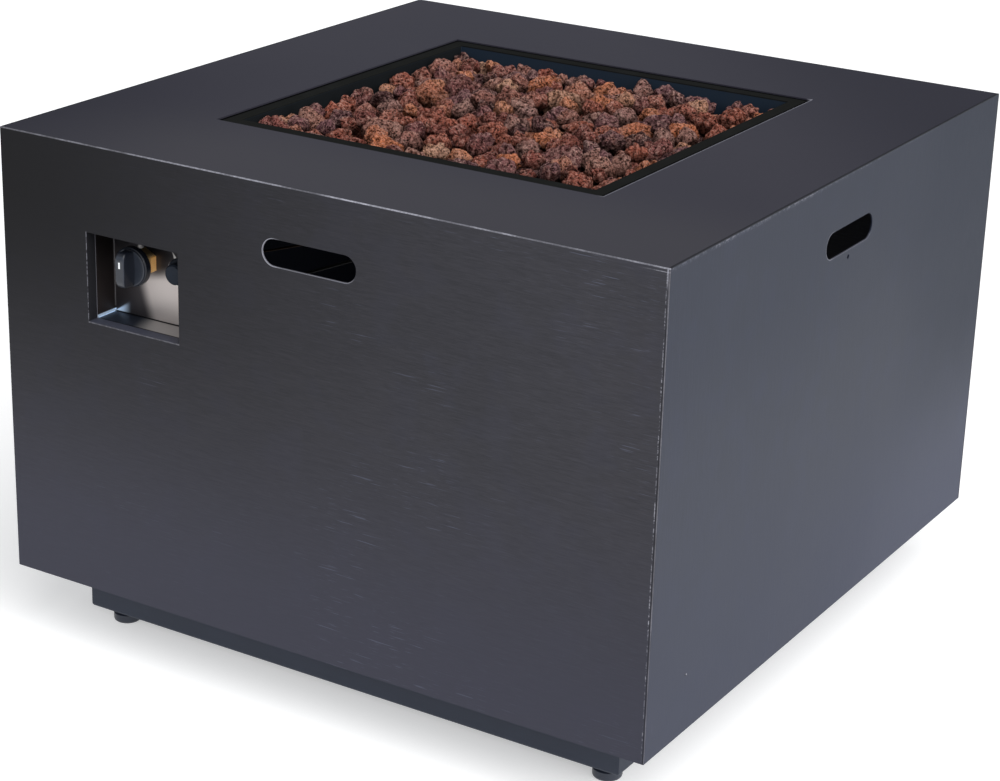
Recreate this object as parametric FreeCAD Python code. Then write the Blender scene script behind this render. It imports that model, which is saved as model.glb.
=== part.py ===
import FreeCAD, Part
import itertools
import math
import os
import random

# A square gas fire table: a brushed sheet-metal body on a recessed plinth, with a pan of lava rock in
# its top, a stainless control recess in its front, and the gas train between them.
# Millimetres. X to the right seen from the front, Y to the back, Z up. The origin is on the floor,
# under the middle of the body.

os.makedirs("parts", exist_ok=True)
V = FreeCAD.Vector

# Body
body_width = 710.0
body_height = 450.0
sheet = 1.5
panel_seam = 0.3
panel_flange = 20.0
post_leg = 25.0
post_sheet = 2.0
post_stud_inset = 12.0
post_stud_from_end = 80.0
deck_stud_place = 150.0
deck_stud_below_top = 12.0
base_stud_inset = 11.0

# Hand slots, one in each panel, and the small hole under the one on the right
slot_length = 100.8
slot_height = 25.2
slot_below_top = 62.7
port_radius = 2.2
port_below_slot = 19.8

# Stand
foot_height = 17.0
plinth_drop = 52.0
plinth_inset = 50.0
rail_width = 50.0
rail_wall = 2.0
rail_corner = 4.0
base_sheet = 2.0
base_opening = 400.0

# Levelling feet
pad_radius = 14.0
pad_side = 6.0
pad_edge = 3.0
pad_slope = 2.5
pad_neck_radius = 9.0
foot_stud_radius = 4.0
foot_travel = 15.0
foot_thread_kept = 22.0
insert_flange = 1.2
insert_barrel = 17.0
insert_radius = 6.2

# Deck and burner pan
deck_opening = 424.0
deck_flange = 20.0
deck_ledge = 15.0
pan_below_deck = 1.2
pan_sheet = 1.2
pan_inner = 389.0
pan_depth = 62.0
pan_rim_gap = 1.0
drain_radius = 4.0
drain_inset = 24.0

# Heat shield under the pan
shield_size = 300.0
shield_sheet = 1.0
shield_drop = 22.0
spacer_radius = 5.0
shield_hole_radius = 21.0
shield_stud_inset = 20.0

# Burner: two long tubes joined by a cross tube over a hub
burner_radius = 8.0
burner_wall = 1.0
burner_length = 280.0
burner_spacing = 220.0
burner_above_floor = 15.0
port_hole_radius = 1.6
port_pitch = 40.0
hub_radius = 14.0
nipple_radius = 10.5
nipple_bore = 8.0
nipple_below_pan = 18.0
locknut_flats = 30.0
locknut_thickness = 7.0

# Air mixer, its shutter and the orifice
mixer_radius = 13.0
mixer_length = 72.0
mixer_bore = 8.5
mixer_base = 5.0
air_slot_width = 9.0
air_slot_height = 16.0
air_slot_above_base = 12.0
air_slot_count = 3
shutter_wall = 1.2
shutter_height = 24.0
shutter_tab = 9.0
shutter_tab_inset = 3.0
orifice_thread_radius = 4.8
orifice_flats = 15.0
orifice_hex = 9.0
orifice_stub = 8.0
orifice_thread_proud = 3.0
orifice_bore = 1.0

# Control recess: the window's place is measured from the front face's left edge and top
window_from_left = 101.2
window_width = 107.5
window_below_top = 84.3
window_height = 87.7
window_return = 12.8
recess_depth = 39.0
box_sheet = 1.0
box_lip = 14.0
box_stud_out = 8.4

# Gas valve, on the knob's axis
knob_from_left = 38.5
knob_below_top = 31.0
valve_neck_radius = 9.0
valve_nut_flats = 24.0
valve_nut_thickness = 7.0
valve_radius = 15.0
valve_length = 44.0
valve_plug_radius = 9.0
valve_plug_wall = 4.0
valve_cap_thickness = 4.0
stem_radius = 4.0
stem_tail_radius = 3.0
stem_flat = 2.5
stem_in_grip = 3.0
stem_tail_gap = 6.0
inlet_port_depth = 16.0
outlet_port_depth = 36.0
port_boss_radius = 8.0
port_boss_reach = 24.0
socket_depth = 6.0
gas_way_radius = 2.0

# Control knob
knob_radius = 19.0
knob_face_radius = 15.5
knob_edge = 1.2
knob_skirt = 5.0
knob_back = 23.0
knob_face = 12.0
grip_width = 11.0
knob_push_travel = 4.0

# Igniter
igniter_from_knob = 41.0
igniter_below_knob = 2.7
igniter_cap_radius = 9.9
igniter_proud = 12.0
igniter_cap_edge = 1.5
igniter_dish = 0.6
igniter_barrel_radius = 11.5
igniter_bezel_radius = 13.5
igniter_bezel_thickness = 2.5
igniter_barrel_length = 14.0
igniter_nut_flats = 27.0
igniter_nut_thickness = 4.5
igniter_body_length = 52.0
igniter_body_end = 2.0
igniter_travel = 3.0
battery_radius = 5.25
battery_length = 44.5

# Gas inlet through the base plate, and the tubes and leads inside
inlet_behind_rail = 19.0
inlet_thread_radius = 7.94
inlet_thread_length = 13.0
inlet_hex_flats = 22.0
inlet_hex_height = 8.0
inlet_bore = 4.0
inlet_flare = 3.0
inlet_neck = 24.0
inlet_socket_above_plate = 14.0
inlet_locknut_thickness = 6.0
inlet_pipe_radius = 5.0
feed_hose_radius = 5.0
feed_hose_drop = 60.0
feed_hose_hang = 90.0
lead_radius = 1.6
thermo_lead_radius = 1.2
lead_straight = 24.0
lead_hang = 26.0

# Spark electrode and thermocouple beside the burner's cross tube
pilot_x = -52.0
pilot_beside_tube = 10.0
pilot_spacing = 16.0
pilot_bracket_height = 14.0
pilot_bracket_sheet = 1.2
pilot_bracket_margin = 7.0
electrode_radius = 3.0
electrode_wire = 0.9
electrode_bare = 6.0
thermo_radius = 2.5
tip_above_bracket = 8.0
tip_taper = 2.0
electrode_below_shield = 6.0

# Threaded studs, nuts and bolts
stud_radius = 2.5
stud_length = 10.0
nut_flats = 8.0
nut_thickness = 4.0
bolt_radius = 3.0
bolt_head_flats = 10.0
bolt_head = 4.0
bolt_length = 12.0
thread_proud = 1.0

# Clearances. Parts of one solid are sunk into each other by touch, and cutters run past it by past.
running = 0.1
seat = 0.3
loose = 1.0
touch = 0.02
past = 1.0

# Lava rock: radii of the spheres that the rocks lie in, and the bed's surface: its crest above the
# pan's rim, and how far it falls from the middle to the walls
rock_chip = 9.0
rock_small = 13.0
rock_middle = 17.0
rock_large = 23.0
bed_crest = 2.0
bed_fall = 9.0
rock_cap = 0.85
rock_corners = 12
hollows_tried = 8
misses_allowed = 30
finest_roll = 0.15
least_drop = 0.01
contact_reach = 0.6

# Places worked out from the sizes above
half = body_width / 2
inside = half - sheet
body_bottom = foot_height + plinth_drop
body_top = body_bottom + body_height
base_under = body_bottom + sheet
base_top = base_under + base_sheet
plinth_half = half - plinth_inset
foot_place = plinth_half - rail_width / 2
slot_z = body_top - slot_below_top
deck_half = inside - panel_seam
deck_under = body_top - deck_flange
pan_rim = body_top - pan_below_deck
pan_half = pan_inner / 2
pan_floor = pan_rim - pan_depth
pan_under = pan_floor - pan_sheet
shield_top = pan_under - shield_drop
burner_z = pan_floor + burner_above_floor
nipple_end = pan_under - nipple_below_pan
mixer_top = pan_under - locknut_thickness
mixer_bottom = mixer_top - mixer_length
air_slot_z = mixer_bottom + air_slot_above_base
front_face = -half
lip_front = front_face + window_return
plate_front = front_face + recess_depth
plate_back = plate_front + box_sheet
window_left = -half + window_from_left
window_right = window_left + window_width
window_top = body_top - window_below_top
window_bottom = window_top - window_height
knob_x = window_left + knob_from_left
knob_z = window_top - knob_below_top
igniter_x = knob_x + igniter_from_knob
igniter_z = knob_z - igniter_below_knob
inlet_y = -plinth_half + rail_width + inlet_behind_rail
valve_neck_front = plate_front - valve_nut_thickness - thread_proud
stem_front = front_face + knob_face + stem_in_grip
valve_back = plate_back + valve_length
inlet_port_y = plate_back + inlet_port_depth
outlet_port_y = plate_back + outlet_port_depth
port_end_z = knob_z - port_boss_reach
igniter_back = plate_front + igniter_barrel_length
pilot_y = -(burner_radius + pilot_beside_tube)
pilot_middle = pilot_x - pilot_spacing / 2
pilot_top = pan_floor + pilot_bracket_height + tip_above_bracket
lead_top = shield_top - electrode_below_shield - seat
stud_pitch = inside - post_sheet - post_stud_inset
post_levels = (base_top + post_stud_from_end, deck_under - post_stud_from_end)
deck_stud_z = body_top - deck_stud_below_top
UP = V(0, 0, 1)
INWARD = V(0, 1, 0)


def box(x0, x1, y0, y1, z0, z1):
    return Part.makeBox(x1 - x0, y1 - y0, z1 - z0, V(x0, y0, z0))


def rod(radius, start, along, length):
    return Part.makeCylinder(radius, length, start, along)


def pipe(outer, inner, start, along, length):
    return rod(outer, start, along, length).cut(rod(inner, start, along, length))


def turned(profile, start, along):
    """A solid of revolution. The profile is (radius, distance along the axis) points, closed."""
    points = [V(radius, 0, distance) for radius, distance in profile]
    face = Part.Face(Part.makePolygon(points + points[:1]))
    solid = face.revolve(V(0, 0, 0), UP, 360)
    solid.Placement = FreeCAD.Placement(start, FreeCAD.Rotation(UP, along))
    return solid


def hexagon(flats, thickness, bore, start, along):
    corner = flats / math.sqrt(3)
    points = [V(corner * math.sin(math.radians(60 * k)), corner * math.cos(math.radians(60 * k)), 0)
              for k in range(6)]
    solid = Part.Face(Part.makePolygon(points + points[:1])).extrude(V(0, 0, thickness))
    if bore > 0:
        solid = solid.cut(rod(bore, V(0, 0, 0), UP, thickness))
    solid.Placement = FreeCAD.Placement(start, FreeCAD.Rotation(UP, along))
    return solid


def prism(outline, z0, z1):
    points = [V(x, y, z0) for x, y in outline]
    return Part.Face(Part.makePolygon(points + points[:1])).extrude(V(0, 0, z1 - z0))


def square_ring(outer_half, inner_half, z0, z1):
    outer = box(-outer_half, outer_half, -outer_half, outer_half, z0, z1)
    return outer.cut(box(-inner_half, inner_half, -inner_half, inner_half, z0, z1))


def joined(first, *others):
    return first.fuse(list(others)).removeSplitter()


def turned_about_z(shape, degrees):
    copy = shape.copy()
    copy.rotate(V(0, 0, 0), UP, degrees)
    return copy


def bent_tube(points, radius):
    """A round tube along straight runs, with a tangent arc as large as the runs allow at each turn."""
    edges = []
    start = points[0]
    for k in range(1, len(points) - 1):
        before = points[k - 1] - points[k]
        after = points[k + 1] - points[k]
        run = min(before.Length, after.Length)
        before.normalize()
        after.normalize()
        reach = 0.45 * run
        half_angle = before.getAngle(after) / 2
        bend = reach * math.tan(half_angle)
        inward = (before + after).normalize()
        first = points[k] + before * reach
        last = points[k] + after * reach
        middle = points[k] + inward * (bend / math.sin(half_angle) - bend)
        edges.append(Part.makeLine(start, first))
        edges.append(Part.Arc(first, middle, last).toShape())
        start = last
        print("bend radius", round(bend, 1), "in a tube of radius", radius)
    edges.append(Part.makeLine(start, points[-1]))
    path = Part.Wire(edges)
    circle = Part.Wire(Part.makeCircle(radius, points[0], points[1] - points[0]))
    tube = path.makePipeShell([circle], True, False)
    swept = math.pi * radius ** 2 * path.Length
    print("tube volume over section times length", round(tube.Volume / swept, 4))
    return tube


def export(name, *solids):
    shape = solids[0] if len(solids) == 1 else Part.makeCompound(list(solids))
    shape.exportStep("parts/" + name + ".step")


# Body panels. Each is drawn as the front one and turned to its side.

def slot_cutter():
    straight = (slot_length - slot_height) / 2
    end = slot_height / 2
    y = front_face - sheet
    middle = box(-straight, straight, y, y + 3 * sheet, slot_z - end, slot_z + end)
    ends = [rod(end, V(x, y, slot_z), INWARD, 3 * sheet) for x in (-straight, straight)]
    return middle.fuse(ends)


def panel_studs():
    """Weld studs on the inside of a panel: (x, z) for its two posts and the deck's flange."""
    posts = [(x, z) for x in (-stud_pitch, stud_pitch) for z in post_levels]
    deck = [(x, deck_stud_z) for x in (-deck_stud_place, deck_stud_place)]
    return posts + deck


def base_studs():
    """Weld studs that stand on a panel's bottom flange: (x, y)."""
    return [(x, -inside + base_stud_inset) for x in (-deck_stud_place, deck_stud_place)]


def panel(half_width):
    wall = box(-half_width, half_width, front_face, -inside, body_bottom, body_top)
    flange = prism([(-inside, -inside), (inside, -inside),
                    (inside - panel_flange, -inside + panel_flange),
                    (-inside + panel_flange, -inside + panel_flange)], body_bottom, base_under)
    flange = flange.common(box(-half_width, half_width, -inside, 0, body_bottom, base_under))
    studs = [rod(stud_radius, V(x, -inside - touch, z), INWARD, stud_length) for x, z in panel_studs()]
    studs += [rod(stud_radius, V(x, y, base_under - touch), UP, stud_length) for x, y in base_studs()]
    return joined(wall, flange, *studs).cut(slot_cutter())


def box_studs():
    """The four studs that hold the control box's lip: (x, z)."""
    return [(x, z) for x in (window_left - box_stud_out, window_right + box_stud_out)
            for z in (window_bottom - box_stud_out, window_top + box_stud_out)]


def front_panel():
    shape = panel(half)
    window = box(window_left, window_right, front_face, lip_front, window_bottom, window_top)
    frame = box(window_left - sheet, window_right + sheet, front_face, lip_front,
                window_bottom - sheet, window_top + sheet)
    length = window_return + box_sheet + nut_thickness
    studs = [rod(stud_radius, V(x, -inside - touch, z), INWARD, length) for x, z in box_studs()]
    return joined(shape, frame, *studs).cut(window)


def right_panel():
    shape = panel(inside - panel_seam)
    hole = rod(port_radius, V(0, front_face - sheet, slot_z - port_below_slot), INWARD, 3 * sheet)
    return turned_about_z(shape.cut(hole), 90)


def make_body():
    export("front_panel", front_panel())
    export("right_panel", right_panel())
    export("back_panel", turned_about_z(panel(half), 180))
    export("left_panel", turned_about_z(panel(inside - panel_seam), 270))
    names = ("front_left", "front_right", "back_right", "back_left")
    for k in range(4):
        export("corner_post_" + names[k], turned_about_z(corner_post(), 90 * k))


def corner_post():
    """The front left post: an angle section in the corner, with a hole over each stud."""
    outer = -inside
    leg = outer + post_leg
    shape = prism([(outer, outer), (leg, outer), (leg, outer + post_sheet),
                   (outer + post_sheet, outer + post_sheet), (outer + post_sheet, leg), (outer, leg)],
                  base_top, deck_under)
    hole = stud_radius + seat
    for z in post_levels:
        shape = shape.cut(rod(hole, V(-stud_pitch, outer - sheet, z), INWARD, 4 * post_sheet))
        shape = shape.cut(rod(hole, V(outer - sheet, -stud_pitch, z), V(1, 0, 0), 4 * post_sheet))
    return shape


def top_deck():
    opening = deck_opening / 2
    ledge_top = pan_rim - pan_sheet
    plate = square_ring(deck_half, opening, body_top - sheet, body_top)
    skirt = square_ring(deck_half, deck_half - sheet, deck_under, body_top)
    step = square_ring(opening + sheet, opening, ledge_top - sheet, body_top)
    ledge = square_ring(opening + sheet, opening - deck_ledge, ledge_top - sheet, ledge_top)
    shape = joined(plate, skirt, step, ledge)
    for side in range(4):
        for x in (-deck_stud_place, deck_stud_place):
            hole = rod(stud_radius + seat, V(x, -inside, deck_stud_z), INWARD, 3 * sheet)
            shape = shape.cut(turned_about_z(hole, 90 * side))
    return shape


def flange_nuts():
    """One nut for every stud on the panels and under the pan."""
    bore = stud_radius + running
    nuts = []
    for side in range(4):
        for x, z in panel_studs():
            behind = post_sheet if abs(x) == stud_pitch else panel_seam + sheet
            start = V(x, -inside + behind, z)
            nuts.append(turned_about_z(hexagon(nut_flats, nut_thickness, bore, start, INWARD), 90 * side))
        for x, y in base_studs():
            start = V(x, y, base_top)
            nuts.append(turned_about_z(hexagon(nut_flats, nut_thickness, bore, start, UP), 90 * side))
    for x, y in shield_places():
        start = V(x, y, shield_top - shield_sheet - nut_thickness)
        nuts.append(hexagon(nut_flats, nut_thickness, bore, start, UP))
    return nuts


# Stand

def plinth_rail():
    """The front rail: a rectangular tube with rounded edges, mitred at both ends."""
    y0 = -plinth_half
    outer = box(-plinth_half, plinth_half, y0, y0 + rail_width, foot_height, base_under)
    long_edges = [e for e in outer.Edges if abs(e.tangentAt(e.FirstParameter).x) > 0.99]
    outer = outer.makeFillet(rail_corner, long_edges)
    hollow = box(-plinth_half, plinth_half, y0 + rail_wall, y0 + rail_width - rail_wall,
                 foot_height + rail_wall, base_under - rail_wall)
    mitre = prism([(-plinth_half, -plinth_half), (plinth_half, -plinth_half),
                   (plinth_half - rail_width, -plinth_half + rail_width),
                   (-plinth_half + rail_width, -plinth_half + rail_width)], foot_height, base_under)
    shape = outer.cut(hollow).common(mitre)
    for x in (-foot_place, foot_place):
        hole = rod(insert_radius + seat / 2, V(x, -foot_place, foot_height - past), UP, 2 * rail_wall)
        shape = shape.cut(hole)
    for x in bolt_places():
        hole = rod(bolt_radius, V(x, -foot_place, base_under - rail_wall - past), UP, rail_wall + 2 * past)
        shape = shape.cut(hole)
    return shape


def bolt_places():
    return (-plinth_half * 0.5, plinth_half * 0.5)


def base_plate():
    edge = inside - seat
    plate = square_ring(edge, base_opening / 2, base_under, base_top)
    for side in range(4):
        for x, y in base_studs():
            hole = rod(stud_radius + seat, V(x, y, base_under - past), UP, 2 * base_sheet)
            plate = plate.cut(turned_about_z(hole, 90 * side))
        for x in bolt_places():
            hole = rod(bolt_radius + seat, V(x, -foot_place, base_under - past), UP, 2 * base_sheet)
            plate = plate.cut(turned_about_z(hole, 90 * side))
    inlet = rod(inlet_thread_radius + running, V(knob_x, inlet_y, base_under - past), UP, 2 * base_sheet)
    return plate.cut(inlet)


def plinth_bolts():
    bolts = []
    for side in range(4):
        for x in bolt_places():
            head = hexagon(bolt_head_flats, bolt_head, 0, V(x, -foot_place, base_top), UP)
            shank = rod(bolt_radius - running, V(x, -foot_place, base_top - bolt_length), UP,
                        bolt_length + touch)
            bolts.append(turned_about_z(joined(head, shank), 90 * side))
    return bolts


def foot_corners():
    return {"front_left": (-foot_place, -foot_place), "front_right": (foot_place, -foot_place),
            "back_right": (foot_place, foot_place), "back_left": (-foot_place, foot_place)}


def levelling_foot(x, y):
    top = foot_height - insert_flange - seat
    length = foot_travel + foot_thread_kept
    shoulder = pad_edge + pad_side
    rim = pad_radius - pad_edge
    arc = [(rim + pad_edge * math.sin(math.radians(a)), pad_edge - pad_edge * math.cos(math.radians(a)))
           for a in (0, 30, 60, 90)]
    profile = [(0, 0)] + arc + [(pad_radius, shoulder), (pad_neck_radius, shoulder + pad_slope),
                                (pad_neck_radius, top), (foot_stud_radius, top),
                                (foot_stud_radius, top + length), (0, top + length)]
    return turned(profile, V(x, y, 0), UP)


def foot_insert(x, y):
    bore = foot_stud_radius + running
    under = foot_height - insert_flange
    flange = pipe(pad_neck_radius, bore, V(x, y, under), UP, insert_flange)
    barrel = pipe(insert_radius, bore, V(x, y, under), UP, insert_flange + insert_barrel)
    return joined(flange, barrel)


def make_stand():
    names = ("front", "right", "back", "left")
    for k in range(4):
        export("plinth_rail_" + names[k], turned_about_z(plinth_rail(), 90 * k))
    export("base_plate", base_plate())
    export("plinth_bolts", *plinth_bolts())
    inserts = []
    for name, (x, y) in foot_corners().items():
        export("foot_" + name, levelling_foot(x, y))
        inserts.append(foot_insert(x, y))
    export("foot_inserts", *inserts)


# Burner pan and what hangs under it

def shield_places():
    place = shield_size / 2 - shield_stud_inset
    return [(x, y) for x in (-place, place) for y in (-place, place)]


def pilot_rods():
    """The spark electrode's insulator and the thermocouple: (x, radius)."""
    return ((pilot_x, electrode_radius), (pilot_x - pilot_spacing, thermo_radius))


def burner_pan():
    rim_half = deck_opening / 2 - pan_rim_gap
    rim = square_ring(rim_half, pan_half, pan_rim - pan_sheet, pan_rim)
    wall = square_ring(pan_half + pan_sheet, pan_half, pan_under, pan_rim)
    floor_half = pan_half + pan_sheet
    floor = box(-floor_half, floor_half, -floor_half, floor_half, pan_under, pan_floor)
    length = shield_drop + shield_sheet + nut_thickness + thread_proud
    studs = [rod(stud_radius, V(x, y, pan_under - length), UP, length + touch) for x, y in shield_places()]
    shape = joined(rim, wall, floor, *studs)
    drain = pan_half - drain_inset
    for x in (-drain, drain):
        for y in (-drain, drain):
            shape = shape.cut(rod(drain_radius, V(x, y, pan_under - past), UP, pan_sheet + 2 * past))
    shape = shape.cut(rod(nipple_radius + seat, V(0, 0, pan_under - past), UP, pan_sheet + 2 * past))
    for x, radius in pilot_rods():
        shape = shape.cut(rod(radius + seat, V(x, pilot_y, pan_under - past), UP, pan_sheet + 2 * past))
    return shape


def heat_shield():
    edge = shield_size / 2
    under = shield_top - shield_sheet
    plate = box(-edge, edge, -edge, edge, under, shield_top)
    holes = [(0, 0, shield_hole_radius)]
    holes += [(x, y, stud_radius + seat) for x, y in shield_places()]
    holes += [(x, pilot_y, radius + loose) for x, radius in pilot_rods()]
    for x, y, radius in holes:
        plate = plate.cut(rod(radius, V(x, y, under - past), UP, shield_sheet + 2 * past))
    return plate


def burner():
    """The H of tubes with its row of gas ports, on a hub with the threaded nipple below."""
    x = burner_spacing / 2
    reach = burner_length / 2
    ends = ((V(-x, -reach, burner_z), V(0, 1, 0), burner_length),
            (V(x, -reach, burner_z), V(0, 1, 0), burner_length),
            (V(-x, 0, burner_z), V(1, 0, 0), burner_spacing))
    outside = [rod(burner_radius, start, along, length) for start, along, length in ends]
    hub = rod(hub_radius, V(0, 0, pan_floor), UP, burner_z - pan_floor)
    nipple = rod(nipple_radius, V(0, 0, nipple_end), UP, burner_z - nipple_end)
    inner = burner_radius - burner_wall
    hollow = [rod(inner, start + along * burner_wall, along, length - 2 * burner_wall)
              for start, along, length in ends[:2]]
    hollow.append(rod(inner, *ends[2]))
    hollow.append(rod(nipple_bore, V(0, 0, nipple_end), UP, burner_z - nipple_end))
    shape = joined(outside[0], *outside[1:], hub, nipple)
    shape = shape.cut(hollow[0].fuse(hollow[1:]))
    count = int(reach / port_pitch)
    ports = [rod(port_hole_radius, V(side, k * port_pitch, burner_z), UP, burner_radius + 1)
             for side in (-x, x) for k in range(-count, count + 1)]
    return shape.cut(ports[0].fuse(ports[1:]))


def mixer_windows(radius):
    """Cutters for the air windows: boxes that run out from the axis, evenly spaced round it."""
    cutter = box(0, radius + past, -air_slot_width / 2, air_slot_width / 2,
                 air_slot_z, air_slot_z + air_slot_height)
    return [turned_about_z(cutter, 360.0 / air_slot_count * k) for k in range(air_slot_count)]


def mixer_tube():
    """A tube over the nipple, with air windows round its foot and a base for the orifice."""
    socket = nipple_radius + running
    shape = rod(mixer_radius, V(0, 0, mixer_bottom), UP, mixer_length)
    shape = shape.cut(rod(mixer_bore, V(0, 0, mixer_bottom + mixer_base), UP, mixer_length))
    shape = shape.cut(rod(socket, V(0, 0, nipple_end - seat), UP, mixer_length))
    shape = shape.cut(rod(orifice_thread_radius + running, V(0, 0, mixer_bottom - past), UP,
                          mixer_base + 2 * past))
    windows = mixer_windows(mixer_radius)
    return shape.cut(windows[0].fuse(windows[1:]))


def air_shutter():
    """A sleeve with the same windows that turns on the mixer, and a tab to turn it by."""
    inner = mixer_radius + running
    outer = inner + shutter_wall
    z = air_slot_z - (shutter_height - air_slot_height) / 2
    shape = pipe(outer, inner, V(0, 0, z), UP, shutter_height)
    windows = mixer_windows(outer)
    shape = shape.cut(windows[0].fuse(windows[1:]))
    tab = box(-outer - shutter_tab, -inner - shutter_wall / 2, -shutter_wall / 2, shutter_wall / 2,
              z + shutter_tab_inset, z + shutter_height - shutter_tab_inset)
    return joined(shape, tab)


def orifice():
    """Threaded into the mixer's base, with a hexagon below it and a stub for the feed hose."""
    thread = rod(orifice_thread_radius, V(0, 0, mixer_bottom - touch), UP, mixer_base + orifice_thread_proud)
    body = hexagon(orifice_flats, orifice_hex, 0, V(0, 0, mixer_bottom - orifice_hex), UP)
    stub_bottom = mixer_bottom - orifice_hex - orifice_stub
    stub = rod(orifice_thread_radius, V(0, 0, stub_bottom), UP, orifice_stub + touch)
    length = mixer_bottom + mixer_base + orifice_thread_proud - stub_bottom
    return joined(thread, body, stub).cut(rod(orifice_bore, V(0, 0, stub_bottom), UP, length + past))


def pilot_bracket():
    """A folded strip on the pan's floor with a hole for the electrode and the thermocouple."""
    x0 = pilot_x - pilot_spacing - pilot_bracket_margin
    x1 = pilot_x + pilot_bracket_margin
    y0 = pilot_y - pilot_bracket_margin
    y1 = pilot_y + pilot_bracket_margin
    top = pan_floor + pilot_bracket_height
    shelf = box(x0, x1, y0, y1, top - pilot_bracket_sheet, top)
    leg = box(x0, x1, y0, y0 + pilot_bracket_sheet, pan_floor, top)
    toe = box(x0, x1, y0, pilot_y - electrode_radius - loose, pan_floor, pan_floor + pilot_bracket_sheet)
    shape = joined(shelf, leg, toe)
    for x, radius in pilot_rods():
        start = V(x, pilot_y, top - pilot_bracket_sheet - past)
        shape = shape.cut(rod(radius + running, start, UP, pilot_bracket_sheet + 2 * past))
    return shape


def pilot_pieces():
    """The insulator, its wire and the thermocouple, from below the heat shield to above the bracket."""
    base = V(pilot_x, pilot_y, shield_top - electrode_below_shield)
    height = pilot_top - base.z
    ceramic = turned([(electrode_wire, 0), (electrode_radius, 0), (electrode_radius, height - tip_taper),
                      (electrode_radius - tip_taper / 2, height), (electrode_wire, height)], base, UP)
    wire = rod(electrode_wire - touch, base, UP, height + electrode_bare)
    top = height + tip_taper
    probe = turned([(0, 0), (thermo_radius, 0), (thermo_radius, height), (thermo_radius - tip_taper / 2, top),
                    (0, top)], base - V(pilot_spacing, 0, 0), UP)
    return ceramic, wire, probe


def make_burner():
    export("burner_pan", burner_pan())
    export("heat_shield", heat_shield())
    spacers = [pipe(spacer_radius, stud_radius + running, V(x, y, shield_top), UP, shield_drop)
               for x, y in shield_places()]
    export("shield_spacers", *spacers)
    export("gas_burner", burner())
    export("burner_locknut", hexagon(locknut_flats, locknut_thickness, nipple_radius + running,
                                     V(0, 0, pan_under - locknut_thickness), UP))
    export("air_mixer", mixer_tube())
    export("air_shutter", air_shutter())
    export("gas_orifice", orifice())
    export("pilot_bracket", pilot_bracket())
    ceramic, wire, probe = pilot_pieces()
    export("spark_insulator", ceramic)
    export("spark_electrode", wire)
    export("thermocouple", probe)


# Control recess, valve, knob and igniter

def control_box():
    """A five-sided stainless box behind the window, with a lip outward for the studs."""
    outer = box(window_left - box_sheet, window_right + box_sheet, lip_front, plate_back,
                window_bottom - box_sheet, window_top + box_sheet)
    inner = box(window_left, window_right, lip_front, plate_front, window_bottom, window_top)
    lip = box(window_left - box_lip, window_right + box_lip, lip_front, lip_front + box_sheet,
              window_bottom - box_lip, window_top + box_lip)
    shape = joined(outer, lip).cut(inner)
    through = box_sheet + 2 * past
    for x, z in box_studs():
        shape = shape.cut(rod(stud_radius + seat, V(x, lip_front - past, z), INWARD, through))
    neck = V(knob_x, plate_front - past, knob_z)
    barrel = V(igniter_x, plate_front - past, igniter_z)
    shape = shape.cut(rod(valve_neck_radius + running, neck, INWARD, through))
    return shape.cut(rod(igniter_barrel_radius + running, barrel, INWARD, through))


def valve_body():
    """The cock's body: a threaded neck through the plate, a chamber for the plug, two ports below."""
    axis = V(knob_x, valve_neck_front, knob_z)
    neck_length = plate_back - valve_neck_front
    chamber = V(knob_x, plate_back + valve_plug_wall, knob_z)
    core = joined(rod(valve_neck_radius, axis, INWARD, neck_length + touch),
                  rod(valve_radius, V(knob_x, plate_back, knob_z), INWARD, valve_length))
    core = core.cut(rod(stem_radius + running, axis, INWARD, neck_length + valve_plug_wall + past))
    core = core.cut(rod(valve_plug_radius + running, chamber, INWARD, valve_length))
    core.rotate(axis, INWARD, 180)
    boss = port_boss_reach - valve_plug_radius - past
    ports = [rod(port_boss_radius, V(knob_x, y, port_end_z), UP, boss)
             for y in (inlet_port_y, outlet_port_y)]
    shape = joined(core, *ports)
    for y, radius in ((inlet_port_y, inlet_pipe_radius), (outlet_port_y, feed_hose_radius)):
        socket = rod(radius + running, V(knob_x, y, port_end_z - past), UP, socket_depth + past)
        way = rod(gas_way_radius, V(knob_x, y, port_end_z), UP, port_boss_reach - valve_plug_radius + past)
        shape = shape.cut(socket.fuse(way))
    return shape


def valve_plug():
    """Turns in the chamber. The stem's tail slides in its bore; a cross hole lets the gas by."""
    chamber = plate_back + valve_plug_wall + running
    length = valve_back - chamber - running
    shape = pipe(valve_plug_radius, stem_tail_radius + running, V(knob_x, chamber, knob_z), INWARD, length)
    return shape.cut(rod(gas_way_radius, V(knob_x, outlet_port_y, knob_z), -UP, valve_plug_radius + past))


def valve_stem():
    """A round stem with a flat where the knob grips it, and a thinner tail in the plug."""
    shoulder = plate_back - loose
    tail = valve_back - knob_push_travel - stem_tail_gap
    stem = rod(stem_radius, V(knob_x, stem_front, knob_z), INWARD, shoulder - stem_front)
    thin = rod(stem_tail_radius, V(knob_x, stem_front, knob_z), INWARD, tail - stem_front)
    return joined(stem, thin).cut(above_flat(stem_flat))


def above_flat(height):
    """What lies above the stem's flat, as far back as the knob goes."""
    side = stem_radius + past
    return box(knob_x - side, knob_x + side, stem_front - past, front_face + knob_back,
               knob_z + height, knob_z + side)


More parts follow.
